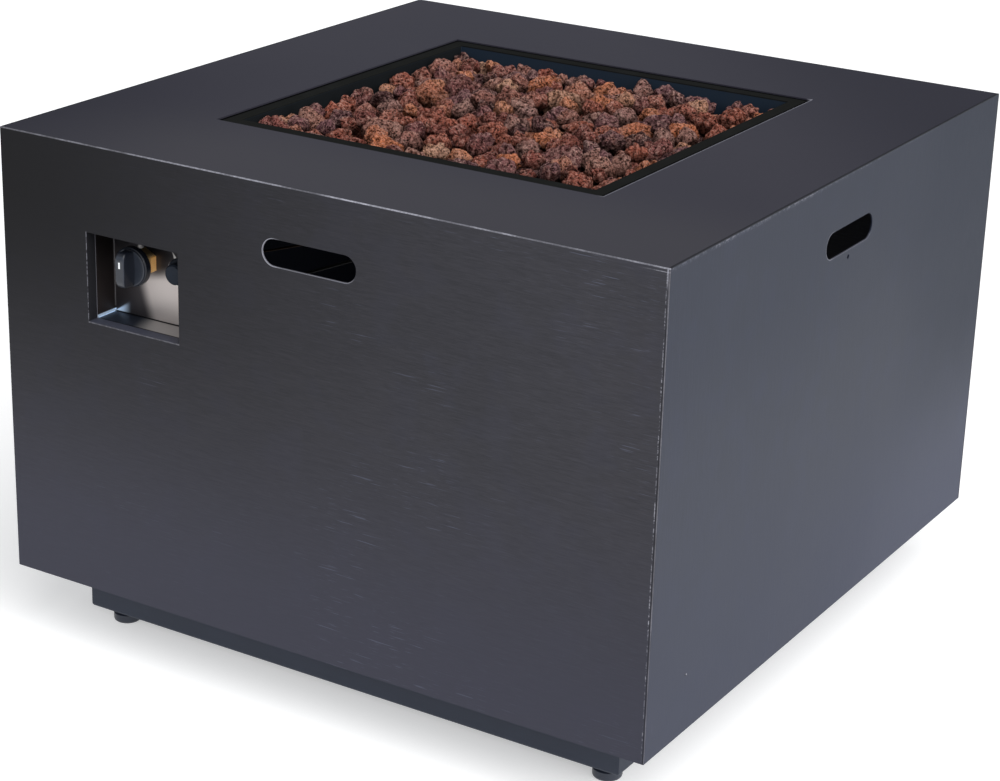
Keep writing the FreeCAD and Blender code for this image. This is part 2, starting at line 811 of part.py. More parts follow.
def control_knob():
    """A round knob with a skirt, and a bar across its face to grip."""
    depth = knob_back - knob_face
    start = V(knob_x, front_face + knob_face, knob_z)
    edge = knob_edge
    profile = [(0, 0), (knob_face_radius - edge, 0), (knob_face_radius, edge),
               (knob_radius - edge / 2, depth - knob_skirt), (knob_radius, depth - knob_skirt + edge / 2),
               (knob_radius, depth), (0, depth)]
    base = turned(profile, start, INWARD)
    bar = box(knob_x - grip_width / 2, knob_x + grip_width / 2, front_face, front_face + knob_face + edge,
              knob_z - knob_radius, knob_z + knob_radius)
    dome = turned([(0, 0), (knob_face_radius - 4 * edge, 0), (knob_face_radius - edge, edge),
                   (knob_face_radius + edge, 4 * edge), (knob_face_radius + edge, knob_face + 2 * edge),
                   (0, knob_face + 2 * edge)], V(knob_x, front_face, knob_z), INWARD)
    grip = bar.common(dome)
    bore = rod(stem_radius + running, V(knob_x, stem_front - seat, knob_z), INWARD, knob_back)
    return joined(base, grip).cut(bore.cut(above_flat(stem_flat + running)))


def igniter_bezel():
    """A flanged barrel through the plate that the cap slides in."""
    bore = igniter_cap_radius + running
    edge = igniter_cap_edge / 2
    flange_front = plate_front - igniter_bezel_thickness
    profile = [(bore, 0), (igniter_bezel_radius - edge, 0), (igniter_bezel_radius, edge),
               (igniter_bezel_radius, igniter_bezel_thickness),
               (igniter_barrel_radius, igniter_bezel_thickness),
               (igniter_barrel_radius, igniter_bezel_thickness + igniter_barrel_length),
               (bore, igniter_bezel_thickness + igniter_barrel_length)]
    return turned(profile, V(igniter_x, flange_front, igniter_z), INWARD)


def igniter_cap():
    length = igniter_proud + igniter_barrel_length - igniter_travel - loose
    dish = igniter_cap_radius - igniter_cap_edge
    profile = [(0, igniter_dish), (dish - igniter_cap_edge, igniter_dish / 3), (dish, 0),
               (igniter_cap_radius, igniter_cap_edge), (igniter_cap_radius, length), (0, length)]
    return turned(profile, V(igniter_x, plate_front - igniter_proud, igniter_z), INWARD)


def igniter_body():
    """The spark unit behind the plate, with the space for its battery."""
    end = igniter_body_end
    shape = turned([(0, 0), (igniter_barrel_radius, 0), (igniter_barrel_radius, igniter_body_length - end),
                    (igniter_barrel_radius - end, igniter_body_length), (0, igniter_body_length)],
                   V(igniter_x, igniter_back, igniter_z), INWARD)
    space = rod(battery_radius + seat, V(igniter_x, igniter_back + end, igniter_z), INWARD,
                battery_length + 2 * seat)
    return shape.cut(space)


def make_controls():
    export("control_box", control_box())
    box_nuts = [hexagon(nut_flats, nut_thickness, stud_radius + running,
                        V(x, lip_front + box_sheet, z), INWARD) for x, z in box_studs()]
    export("control_box_nuts", *box_nuts)
    export("valve_body", valve_body())
    export("valve_cap", rod(valve_radius, V(knob_x, valve_back, knob_z), INWARD, valve_cap_thickness))
    export("valve_nut", hexagon(valve_nut_flats, valve_nut_thickness, valve_neck_radius + running,
                                V(knob_x, plate_front - valve_nut_thickness, knob_z), INWARD))
    export("valve_plug", valve_plug())
    export("valve_stem", valve_stem())
    export("control_knob", control_knob())
    export("igniter_bezel", igniter_bezel())
    export("igniter_locknut", hexagon(igniter_nut_flats, igniter_nut_thickness,
                                      igniter_barrel_radius + running,
                                      V(igniter_x, plate_back, igniter_z), INWARD))
    export("igniter_cap", igniter_cap())
    export("igniter_body", igniter_body())
    battery = V(igniter_x, igniter_back + igniter_body_end + seat, igniter_z)
    export("igniter_battery", rod(battery_radius, battery, INWARD, battery_length))


# Gas inlet, tubes and leads

def inlet_fitting():
    """A male flare fitting that hangs through the base plate, its flare downward."""
    hex_bottom = base_under - inlet_hex_height
    thread_bottom = hex_bottom - inlet_thread_length
    flare = inlet_flare
    thread = turned([(inlet_bore, -flare), (inlet_thread_radius - flare, -flare), (inlet_thread_radius, 0),
                     (inlet_thread_radius, inlet_thread_length + touch),
                     (inlet_bore, inlet_thread_length + touch)],
                    V(knob_x, inlet_y, thread_bottom), UP)
    body = hexagon(inlet_hex_flats, inlet_hex_height, inlet_bore, V(knob_x, inlet_y, hex_bottom), UP)
    neck = pipe(inlet_thread_radius, inlet_bore, V(knob_x, inlet_y, base_under - touch), UP, inlet_neck)
    shape = joined(thread, body, neck)
    socket = V(knob_x, inlet_y, base_under + inlet_socket_above_plate)
    return shape.cut(rod(inlet_pipe_radius + running, socket, UP, inlet_neck))


def inlet_route():
    """From the fitting up into the valve's front port, with a straight length at each end."""
    low = base_under + inlet_socket_above_plate + seat
    straight = (port_end_z - low) / 4
    return [V(knob_x, inlet_port_y, port_end_z + socket_depth - seat),
            V(knob_x, inlet_port_y, port_end_z - 1.5 * straight),
            V(knob_x, inlet_y, low + straight),
            V(knob_x, inlet_y, low)]


def feed_route():
    """From the valve's back port down, over to the middle in a low loop, and up to the orifice."""
    end = mixer_bottom - orifice_hex - orifice_stub - seat
    loop = end - feed_hose_hang
    return [V(knob_x, outlet_port_y, port_end_z + socket_depth - seat),
            V(knob_x, outlet_port_y, port_end_z - feed_hose_drop),
            V(knob_x * 0.75, outlet_port_y * 0.72, loop + 10.0),
            V(knob_x * 0.25, outlet_port_y * 0.25, loop),
            V(0, 0, loop + 30.0),
            V(0, 0, end)]


def spark_route():
    start = igniter_back + igniter_body_length + seat
    return [V(igniter_x, start, igniter_z),
            V(igniter_x, start + lead_straight, igniter_z),
            V(igniter_x + 30.0, start + 60.0, igniter_z - 34.0),
            V(pilot_x - 30.0, pilot_y - 50.0, lead_top - lead_hang - 18.0),
            V(pilot_x, pilot_y, lead_top - lead_hang),
            V(pilot_x, pilot_y, lead_top)]


def thermo_route():
    x = pilot_x - pilot_spacing
    start = valve_back + valve_cap_thickness + seat
    return [V(knob_x, start, knob_z),
            V(knob_x, start + lead_straight, knob_z),
            V(knob_x + 24.0, start + 70.0, knob_z - 20.0),
            V(x - 40.0, pilot_y - 36.0, lead_top - lead_hang - 10.0),
            V(x, pilot_y, lead_top - lead_hang),
            V(x, pilot_y, lead_top)]


def make_gas_lines():
    export("gas_inlet_fitting", inlet_fitting())
    export("inlet_locknut", hexagon(inlet_hex_flats, inlet_locknut_thickness, inlet_thread_radius + running,
                                    V(knob_x, inlet_y, base_top), UP))
    export("inlet_pipe", bent_tube(inlet_route(), inlet_pipe_radius))
    export("burner_feed_hose", bent_tube(feed_route(), feed_hose_radius))
    export("ignition_lead", bent_tube(spark_route(), lead_radius))
    export("thermocouple_lead", bent_tube(thermo_route(), thermo_lead_radius))


# Lava rock. Each rock lies inside a sphere that was set down on the ones below it. Its corners are on
# that sphere, one of them wherever it meets a neighbour, so that rocks touch and never overlap.

def tube_lines():
    """The burner's tubes as (start x, start y, end x, end y)."""
    x = burner_spacing / 2
    y = burner_length / 2
    return [(-x, -y, -x, y), (x, -y, x, y), (-x, 0, x, 0)]


def nearest_on_tube(x, y, line):
    x0, y0, x1, y1 = line
    length2 = (x1 - x0) ** 2 + (y1 - y0) ** 2
    share = ((x - x0) * (x1 - x0) + (y - y0) * (y1 - y0)) / length2
    share = min(1.0, max(0.0, share))
    return x0 + share * (x1 - x0), y0 + share * (y1 - y0)


def rest_height(x, y, radius, near):
    """How high a rock's centre is when it comes straight down at x, y."""
    height = pan_floor + seat + radius
    for cx, cy, cz, other in near:
        reach = radius + other
        gap = reach * reach - (x - cx) ** 2 - (y - cy) ** 2
        if gap > 0:
            height = max(height, cz + math.sqrt(gap))
    for line in tube_lines():
        nx, ny = nearest_on_tube(x, y, line)
        reach = radius + burner_radius + seat
        gap = reach * reach - (x - nx) ** 2 - (y - ny) ** 2
        if gap > 0:
            height = max(height, burner_z + math.sqrt(gap))
    return height


def beside_pilot(x, y, z, radius):
    """True where a rock would lie against the electrode, the thermocouple or their bracket."""
    dx = max(0.0, abs(x - pilot_middle) - pilot_spacing / 2 - pilot_bracket_margin)
    dy = max(0.0, abs(y - pilot_y) - pilot_bracket_margin)
    dz = max(0.0, z - pilot_top - electrode_bare)
    return math.sqrt(dx * dx + dy * dy + dz * dz) < radius + seat


def roll_down(x, y, radius, rocks):
    """Let a rock roll from x, y to the nearest hollow, no further than its own size either way."""
    limit = pan_half - seat - radius
    reach = 2 * radius
    west, east = max(-limit, x - reach), min(limit, x + reach)
    south, north = max(-limit, y - reach), min(limit, y + reach)
    window = reach + radius + rock_large
    near = [rock for rock in rocks if abs(rock[0] - x) < window and abs(rock[1] - y) < window]
    height = rest_height(x, y, radius, near)
    step = radius / 2
    while step > finest_roll:
        moved = False
        for k in range(8):
            nx = min(east, max(west, x + step * math.cos(k * math.pi / 4)))
            ny = min(north, max(south, y + step * math.sin(k * math.pi / 4)))
            lower = rest_height(nx, ny, radius, near)
            if lower < height - least_drop:
                x, y, height, moved = nx, ny, lower, True
        if not moved:
            step /= 2
    return x, y, height


def bed_top(x, y):
    """The mound's surface: highest in the middle, and lower towards the pan's walls."""
    out = max(abs(x), abs(y)) / pan_half
    return pan_rim + bed_crest - bed_fall * out ** 3


def lay_layer(rocks, draw, smallest, largest, highest):
    """Lay rocks one by one, each in the lowest of a few hollows, until no more find room."""
    misses = 0
    while misses < misses_allowed:
        radius = draw.uniform(smallest, largest)
        limit = pan_half - seat - radius
        best = None
        for attempt in range(hollows_tried):
            place = roll_down(draw.uniform(-limit, limit), draw.uniform(-limit, limit), radius, rocks)
            too_high = place[2] + rock_cap * radius > min(highest, bed_top(place[0], place[1]))
            if too_high or beside_pilot(*place, radius):
                continue
            if best is None or place[2] < best[2]:
                best = place
        if best is None:
            misses += 1
        else:
            misses = 0
            rocks.append((best[0], best[1], best[2], radius))


def lay_rocks():
    draw = random.Random(7)
    rocks = []
    lay_layer(rocks, draw, rock_middle, rock_large, pan_floor + 2 * rock_large)
    lay_layer(rocks, draw, rock_small, rock_large, body_top + bed_crest)
    lay_layer(rocks, draw, rock_chip, rock_small, body_top + bed_crest)
    return rocks


def contact_directions(rock, rocks):
    """Unit vectors from a rock's centre to everything that it touches."""
    x, y, z, radius = rock
    near = contact_reach
    found = []
    for cx, cy, cz, other in rocks:
        apart = math.sqrt((cx - x) ** 2 + (cy - y) ** 2 + (cz - z) ** 2)
        if 0 < apart < radius + other + near:
            found.append(((cx - x) / apart, (cy - y) / apart, (cz - z) / apart))
    if z - radius < pan_floor + seat + near:
        found.append((0.0, 0.0, -1.0))
    if abs(x) + radius > pan_half - seat - near:
        found.append((math.copysign(1.0, x), 0.0, 0.0))
    if abs(y) + radius > pan_half - seat - near:
        found.append((0.0, math.copysign(1.0, y), 0.0))
    for line in tube_lines():
        nx, ny = nearest_on_tube(x, y, line)
        apart = math.sqrt((nx - x) ** 2 + (ny - y) ** 2 + (burner_z - z) ** 2)
        if apart < radius + burner_radius + seat + near:
            found.append(((nx - x) / apart, (ny - y) / apart, (burner_z - z) / apart))
    return found


def rock_points(rock, rocks, draw):
    """A rock's corners: one at each contact, and others spread over what is left of its sphere."""
    contacts = contact_directions(rock, rocks)
    shares = [1.0] * len(contacts)
    directions = list(contacts)
    turn = draw.uniform(0, 2 * math.pi)
    golden = math.pi * (3 - math.sqrt(5))
    for k in range(rock_corners):
        height = 1 - 2 * (k + 0.5) / rock_corners
        angle = turn + golden * k + draw.uniform(-0.25, 0.25)
        flat = math.sqrt(1 - height * height)
        d = (flat * math.cos(angle), flat * math.sin(angle), height)
        if all(d[0] * c[0] + d[1] * c[1] + d[2] * c[2] < 0.8 for c in directions):
            directions.append(d)
            shares.append(draw.uniform(0.84, 1.0))
    x, y, z, radius = rock
    radius -= touch
    return [(x + d[0] * s * radius, y + d[1] * s * radius, z + d[2] * s * radius)
            for d, s in zip(directions, shares)]


def side_of(plane, point):
    (x, y, z), (nx, ny, nz) = plane
    return (point[0] - x) * nx + (point[1] - y) * ny + (point[2] - z) * nz


def plane_through(a, b, c):
    ux, uy, uz = b[0] - a[0], b[1] - a[1], b[2] - a[2]
    vx, vy, vz = c[0] - a[0], c[1] - a[1], c[2] - a[2]
    return a, (uy * vz - uz * vy, uz * vx - ux * vz, ux * vy - uy * vx)


def hull_solid(points):
    """The convex solid on the points: every triangle that has all other points on one side."""
    faces = []
    for triple in itertools.combinations(range(len(points)), 3):
        corners = [points[n] for n in triple]
        plane = plane_through(*corners)
        sides = [side_of(plane, p) for n, p in enumerate(points) if n not in triple]
        if max(sides) < 0 or min(sides) > 0:
            if min(sides) > 0:
                corners.reverse()
            ring = [V(*c) for c in corners + corners[:1]]
            faces.append(Part.Face(Part.makePolygon(ring)))
    return Part.Solid(Part.Shell(faces))


def make_rocks():
    rocks = lay_rocks()
    draw = random.Random(11)
    solids = [hull_solid(rock_points(rock, rocks, draw)) for rock in rocks]
    print("rocks", len(solids))
    export("lava_rocks", *solids)


make_body()
export("top_deck", top_deck())
export("flange_nuts", *flange_nuts())
make_stand()
make_burner()
make_controls()
make_gas_lines()
make_rocks()
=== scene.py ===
import math
import bmesh
import bpy
import numpy as np
from mathutils import Matrix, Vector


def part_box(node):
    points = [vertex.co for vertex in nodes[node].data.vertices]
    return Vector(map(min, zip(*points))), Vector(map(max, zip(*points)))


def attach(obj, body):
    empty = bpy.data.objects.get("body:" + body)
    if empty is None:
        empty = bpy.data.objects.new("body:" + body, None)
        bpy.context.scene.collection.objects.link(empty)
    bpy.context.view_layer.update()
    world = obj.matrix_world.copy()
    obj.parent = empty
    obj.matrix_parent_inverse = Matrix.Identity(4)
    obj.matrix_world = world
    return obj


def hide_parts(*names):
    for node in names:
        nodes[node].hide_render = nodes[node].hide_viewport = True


# A square gas fire table of hand-brushed dark sheet metal, with lava rock in its pan.
# Everything is in metres, X to the right seen from the front, Y to the back, Z up from the floor.

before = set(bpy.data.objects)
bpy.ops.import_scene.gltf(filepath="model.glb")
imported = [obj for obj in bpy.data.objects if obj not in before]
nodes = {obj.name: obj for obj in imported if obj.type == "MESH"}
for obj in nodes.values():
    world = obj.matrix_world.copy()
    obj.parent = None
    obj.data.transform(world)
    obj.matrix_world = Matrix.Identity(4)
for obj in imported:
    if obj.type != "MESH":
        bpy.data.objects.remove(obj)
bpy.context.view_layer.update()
rootBody = "fire_table"


# Shader maths: a wrapped socket that adds a Math node for every operator used on it.

class Val:
    def __init__(self, tree, socket):
        self.tree = tree
        self.socket = socket

    def node(self, kind, settings=None, **inputs):
        # Any node: its settings first, then a value or a link for each socket by name.
        made = self.tree.nodes.new(kind)
        for key, value in (settings or {}).items():
            if key == "ramp":
                setRamp(made, value)
            else:
                setattr(made, key, value)
        for key, value in inputs.items():
            socket = findSocket(made, key)
            if isinstance(value, Val):
                self.tree.links.new(value.socket, socket)
            else:
                socket.default_value = value
        return made

    def math(self, operation, a, b=0.0, c=0.0):
        made = self.tree.nodes.new("ShaderNodeMath")
        made.operation = operation
        for slot, value in zip(made.inputs, (a, b, c)):
            if isinstance(value, Val):
                self.tree.links.new(value.socket, slot)
            else:
                slot.default_value = value
        return Val(self.tree, made.outputs[0])

    def __add__(self, other):
        return self.math("ADD", self, other)

    def __radd__(self, other):
        return self.math("ADD", other, self)

    def __sub__(self, other):
        return self.math("SUBTRACT", self, other)

    def __rsub__(self, other):
        return self.math("SUBTRACT", other, self)

    def __mul__(self, other):
        return self.math("MULTIPLY", self, other)

    def __rmul__(self, other):
        return self.math("MULTIPLY", other, self)

    def __truediv__(self, other):
        return self.math("DIVIDE", self, other)

    def __pow__(self, other):
        return self.math("POWER", self, other)

    def absolute(self):
        return self.math("ABSOLUTE", self)

    def least(self, other):
        return self.math("MINIMUM", self, other)

    def most(self, other):
        return self.math("MAXIMUM", self, other)

    def clamp(self):
        return self.math("MINIMUM", self.math("MAXIMUM", self, 0.0), 1.0)

    def step(self, low, high):  # 0 below low, 1 above high, smooth between; low may be the larger
        made = self.node("ShaderNodeMapRange", {"interpolation_type": "SMOOTHSTEP"},
                         Value=self, From_Min=low, From_Max=high, To_Min=0.0, To_Max=1.0)
        return Val(self.tree, made.outputs["Result"])


def findSocket(made, key):
    names = [key, key.replace("_", " ")]
    return next(s for s in made.inputs if s.name in names and s.enabled)


def setRamp(made, stops):
    ramp = made.color_ramp
    while len(ramp.elements) < len(stops):
        ramp.elements.new(0.5)
    for element, (place, colour) in zip(ramp.elements, stops):
        element.position = place
        element.color = (*colour, 1.0)


class Finish:
    # One material: a Principled shader with its coordinates ready to be used as values.

    def __init__(self, name, **fixed):
        self.material = bpy.data.materials.new(name)
        self.material.use_nodes = True
        self.tree = self.material.node_tree
        self.shader = self.tree.nodes["Principled BSDF"]
        for key, value in fixed.items():
            findSocket(self.shader, key).default_value = value
        place = self.tree.nodes.new("ShaderNodeTexCoord")
        self.place = Val(self.tree, place.outputs["Object"])
        split = self.place.node("ShaderNodeSeparateXYZ", Vector=self.place)
        self.x, self.y, self.z = (Val(self.tree, s) for s in split.outputs)

    def distance(self, **point):  # how far it is from a point, over the axes given
        gaps = [getattr(self, axis) - place for axis, place in point.items()]
        return sum((gap * gap for gap in gaps[1:]), gaps[0] * gaps[0]) ** 0.5

    def stretch(self, sx, sy, sz, shift=(0.0, 0.0, 0.0)):
        made = self.place.node("ShaderNodeMapping", Vector=self.place, Scale=(sx, sy, sz), Location=shift)
        return Val(self.tree, made.outputs[0])

    def noise(self, vector=None, scale=1.0, detail=2.0, roughness=0.5, distortion=0.0):
        made = self.place.node("ShaderNodeTexNoise", Vector=vector or self.place, Scale=scale, Detail=detail,
                               Roughness=roughness, Distortion=distortion)
        return Val(self.tree, made.outputs[0])

    def warp(self, scale, grain):  # the place times scale, pushed about by up to one cell
        push = self.place.node("ShaderNodeTexNoise", Vector=self.place, Scale=grain, Detail=2.0)
        made = self.place.node("ShaderNodeMapping", Vector=self.place, Scale=(scale, scale, scale),
                               Location=Val(self.tree, push.outputs["Color"]))
        return Val(self.tree, made.outputs[0])

    def cells(self, vector=None, scale=1.0, feature="F1"):
        made = self.place.node("ShaderNodeTexVoronoi", {"feature": feature}, Vector=vector or self.place,
                               Scale=scale)
        return Val(self.tree, made.outputs["Distance"])

    def attribute(self, name):
        made = self.place.node("ShaderNodeAttribute", {"attribute_name": name})
        return Val(self.tree, made.outputs["Fac"])

    def ramp(self, value, stops):
        made = self.place.node("ShaderNodeValToRGB", {"ramp": stops}, Fac=value)
        return Val(self.tree, made.outputs[0])

    def blend(self, amount, first, second, how="MIX"):  # colours, or links to them
        made = self.tree.nodes.new("ShaderNodeMix")
        made.data_type = "RGBA"
        made.blend_type = how
        for slot, value in ((made.inputs[0], amount), (made.inputs[6], first), (made.inputs[7], second)):
            if isinstance(value, Val):
                self.tree.links.new(value.socket, slot)
            elif isinstance(value, tuple):
                slot.default_value = (*value, 1.0)
            else:
                slot.default_value = value
        return Val(self.tree, made.outputs[2])

    def bump(self, height, strength, distance):
        made = self.place.node("ShaderNodeBump", Height=height, Strength=strength, Distance=distance)
        self.tree.links.new(made.outputs[0], self.shader.inputs["Normal"])

    def feed(self, **links):
        for key, value in links.items():
            self.tree.links.new(value.socket, findSocket(self.shader, key))
        return self.material


# Finishes. The outer sizes come from the frame's own boxes; places of slots, window and small marks are
# named here, in metres.

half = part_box("front_panel")[1].x
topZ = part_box("front_panel")[1].z
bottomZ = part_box("front_panel")[0].z
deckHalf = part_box("top_deck")[1].x

opening = dict(half=0.212)
slot = dict(straight=0.0378, radius=0.0126, middle=topZ - 0.0627)
window = dict(left=-0.2538, right=-0.1463, bottom=0.3470, top=0.4347, lip=-0.3422, plate=-0.3160)

knobAt = dict(x=-0.2153, strokeLow=0.4060, strokeHigh=0.4126, face=-0.3545, behindFace=-0.3535,
              gripTop=-0.3540, gripFoot=-0.3530, skirtFrom=-0.3402, skirtTo=-0.3390)
nutAt = dict(shadeFrom=0.4060, shadeTo=0.4110, cornerX=-0.2050, cornerZ=0.4137, glowFrom=-0.2060,
             glowTo=-0.2010)
panAt = dict(rim=0.5172, underRim=0.5160, lip=0.2074, gap=0.2086, leftFrom=-0.1915, leftTo=-0.1930,
             backFrom=0.1940, backTo=0.1925)
igniterAt = dict(x=-0.1743, z=0.4010, ring=0.0143)
pitAt = dict(y=-0.2844, z=0.1261)

# Coat colours; the bright edge colour stands for bare metal and for painted highlight.
coat = dict(dark=(0.028, 0.028, 0.034), mid=(0.045, 0.044, 0.053), low=(0.041, 0.042, 0.062),
            scratch=(0.13, 0.14, 0.20), wornAndLit=(0.40, 0.40, 0.46), seam=(0.006, 0.006, 0.009),
            rough=0.50, metal=0.35, specular=0.20)


def times(colour, tint):
    return tuple(c * t for c, t in zip(colour, tint))


def onLine(value, place, width):  # 1 within half the width of a place, 0 past the width
    return (value - place).absolute().step(width, width * 0.5)


def brushed(f, along, tint, contrast):
    # Hand-brushed coat: hair-thin streaks, broader ones and slow clouds, bluer near the floor.
    hair = [1100.0, 1100.0, 1100.0]
    hair[along] = 75.0
    band = [420.0, 420.0, 420.0]
    band[along] = 22.0
    fine = f.noise(f.stretch(*hair), 1.0, 3.0, 0.65)
    soft = f.noise(f.stretch(*band), 1.0, 2.0, 0.5)
    cloud = f.noise(f.place, 5.0, 4.0, 0.6)
    tone = ((fine - 0.5) * 2.1 + (soft - 0.5) * 0.6 + (cloud - 0.5) * 0.7) * contrast + 0.5
    colour = f.blend(tone.clamp(), times(coat["dark"], tint), times(coat["mid"], tint))
    colour = f.blend(f.z.step(0.34, bottomZ) * 0.75, colour, times(coat["low"], tint))
    blue = f.noise(f.place, 22.0, 2.0).step(0.50, 0.64)
    colour = f.blend(blue * 0.18, colour, times(coat["low"], tint))
    f.bump(fine * 0.7 + soft * 0.5, 0.14 * contrast, 0.0004)
    rough = coat["rough"] + 0.10 * (cloud - 0.5) + 0.12 * (fine - 0.5)
    return colour, rough


def scratched(f, colour, along, strength, gather):
    # Short bright scratches in loose groups; gather adds a group where it is high.
    tick = [640.0, 640.0, 640.0]
    tick[along] = 26.0
    many = [1000.0, 1000.0, 1000.0]
    many[along] = 60.0
    group = (f.noise(f.place, 7.0, 3.0).step(0.50, 0.66) + gather).clamp()
    long = f.noise(f.stretch(*tick), 1.0, 2.0, 0.5).step(0.65, 0.72) * group
    short = f.noise(f.stretch(*many, (3.0, 5.0, 7.0)), 1.0, 2.0, 0.5).step(0.60, 0.72)
    amount = long * strength + short * strength * (0.18 + 0.35 * group)
    return f.blend(amount.clamp(), colour, coat["scratch"])


def wornAndLitLines(f, colour, lines):
    # Bright edges, partly bare metal and partly painted highlight, faded along one axis: (axis, place, width,
    # strength, dotted, axis of fade, from, to).
    axes = (f.x, f.y, f.z)
    crumbs = f.noise(f.place, 330.0, 3.0, 0.7)
    wornAndLit = f.noise(f.place, 21.0, 3.0, 0.6).step(0.36, 0.60)
    for axis, place, width, strength, dotted, fade, start, end in lines:
        amount = onLine(axes[axis], place, width) * axes[fade].step(start, end) * strength
        dots = crumbs.step(0.36 + 0.10 * dotted, 0.60) * dotted + (1.0 - dotted)
        amount = amount * dots * (wornAndLit * 0.8 + 0.35)
        colour = f.blend(amount, colour, coat["wornAndLit"])
    return colour


def cornerShade(f, colour, amount, zSpan, across, acrossSpan, shade=(0.003, 0.003, 0.004)):
    # Painted shade, darker towards one upper corner: amount * (1 - step of z) * (1 - step across).
    dim = (1.0 - f.z.step(*zSpan)) * (1.0 - across.step(*acrossSpan)) * amount
    return f.blend(dim, colour, shade)


def slotRim(f, colour, run, side, strength):
    # Painted highlight on the edge round a hand slot: run is the place along it, side picks the end that is
    # lit.
    far = (run.absolute() - slot["straight"]).most(0.0)
    rise = f.z - slot["middle"]
    edge = onLine((far * far + rise * rise) ** 0.5, slot["radius"] + 0.0002, 0.0007)
    shine = (run * side).step(0.030, 0.044) + 0.55 * (rise * -1.0).step(0.0060, 0.0110)
    return f.blend((edge * shine).clamp() * strength, colour, coat["wornAndLit"])


def windowLightAndShade(f, colour):
    # Painted light and shade round the window's return: painted highlights on its outer and inner corners,
    # painted light on the pale blue sill and painted shade on its left wall.
    inside = f.x.step(window["right"] + 0.0004, window["right"])
    inside = inside * f.x.step(window["left"] - 0.0012, window["left"])
    inside = inside * f.z.step(window["bottom"] - 0.0015, window["bottom"] - 0.0008)
    inside = inside * f.z.step(window["top"] + 0.0008, window["top"])
    face = f.y.step(-half + 0.0007, -half + 0.0003)
    crumbs = f.noise(f.place, 260.0, 3.0, 0.7).step(0.40, 0.56)
    wall = onLine(f.x, window["left"], 0.0010) * inside
    sill = f.z.step(window["bottom"] + 0.0006, window["bottom"] + 0.0002) * inside
    # Painted light on the sill, painted shade on the return's left wall.
    colour = f.blend(sill * (1.0 - face) * 0.7, colour, (0.090, 0.096, 0.135))
    colour = f.blend(wall * (1.0 - face) * 0.5, colour, (0.026, 0.026, 0.030))
    # Painted highlights on the outer corners and along the left wall's inner edge.
    colour = f.blend(wall * face * crumbs * 0.38, colour, coat["wornAndLit"])
    colour = f.blend(sill * face * (0.12 + 0.12 * crumbs), colour, coat["wornAndLit"])
    inner = onLine(f.y, window["lip"] - 0.0002, 0.0007) * inside
    return f.blend(inner * wall * 0.5, colour, (0.40, 0.40, 0.46))


def frontCoat():
    f = Finish("coatFront", Metallic=coat["metal"], Specular_IOR_Level=coat["specular"])
    colour, rough = brushed(f, 0, (1.0, 1.0, 1.0), 1.0)
    gather = f.z.step(topZ - 0.030, topZ - 0.004) * f.x.step(-0.05, 0.33) * 1.1
    corner = f.z.step(topZ - 0.075, topZ - 0.015) * f.x.step(0.17, 0.32) * 0.9
    colour = scratched(f, colour, 0, 0.36, gather.most(corner))
    # Painted shade towards the top left.
    colour = cornerShade(f, colour, 0.97, (0.47, 0.12), f.x, (-0.40, 0.30))
    # Bright edges: bare metal and painted highlight, stronger to the right and near the top.
    colour = wornAndLitLines(f, colour, [(2, topZ, 0.0013, 0.95, 0.4, 0, -0.7, 0.22),
                                   (2, topZ - 0.0036, 0.0005, 0.6, 0.5, 0, 0.325, 0.348),
                                   (0, half - 0.0024, 0.0006, 0.62, 1.0, 2, 0.70, 0.30),
                                   (0, half - 0.0018, 0.0009, 0.85, 0.5, 2, topZ - 0.020, topZ - 0.008),
                                   (0, half, 0.0011, 0.20, 0.3, 2, 0.0, 0.05)])
    low = f.z.step(topZ - 0.012, topZ - 0.060) * 0.75
    colour = f.blend(onLine(f.x, half - 0.0010, 0.0007) * low, colour, coat["seam"])
    # Painted highlight on the slot's left end; painted light and shade round the window.
    colour = slotRim(f, colour, f.x, -1.0, 0.62)
    return f.feed(Base_Color=windowLightAndShade(f, colour), Roughness=rough)


def backCoat():
    f = Finish("coatBack", Metallic=coat["metal"], Specular_IOR_Level=coat["specular"])
    colour, rough = brushed(f, 0, (1.0, 1.0, 1.0), 1.0)
    colour = scratched(f, colour, 0, 0.42, f.x * 0.0)
    # Bright edges: bare metal and painted highlight.
    colour = wornAndLitLines(f, colour, [(2, topZ, 0.0011, 0.55, 0.6, 0, 1.0, -0.3),
                                   (0, half - 0.0024, 0.0006, 0.6, 1.0, 2, 0.70, 0.30),
                                   (0, 0.0024 - half, 0.0006, 0.6, 1.0, 2, 0.70, 0.30)])
    # Painted highlight on the slot's right end.
    return f.feed(Base_Color=slotRim(f, colour, f.x, 1.0, 0.5), Roughness=rough)


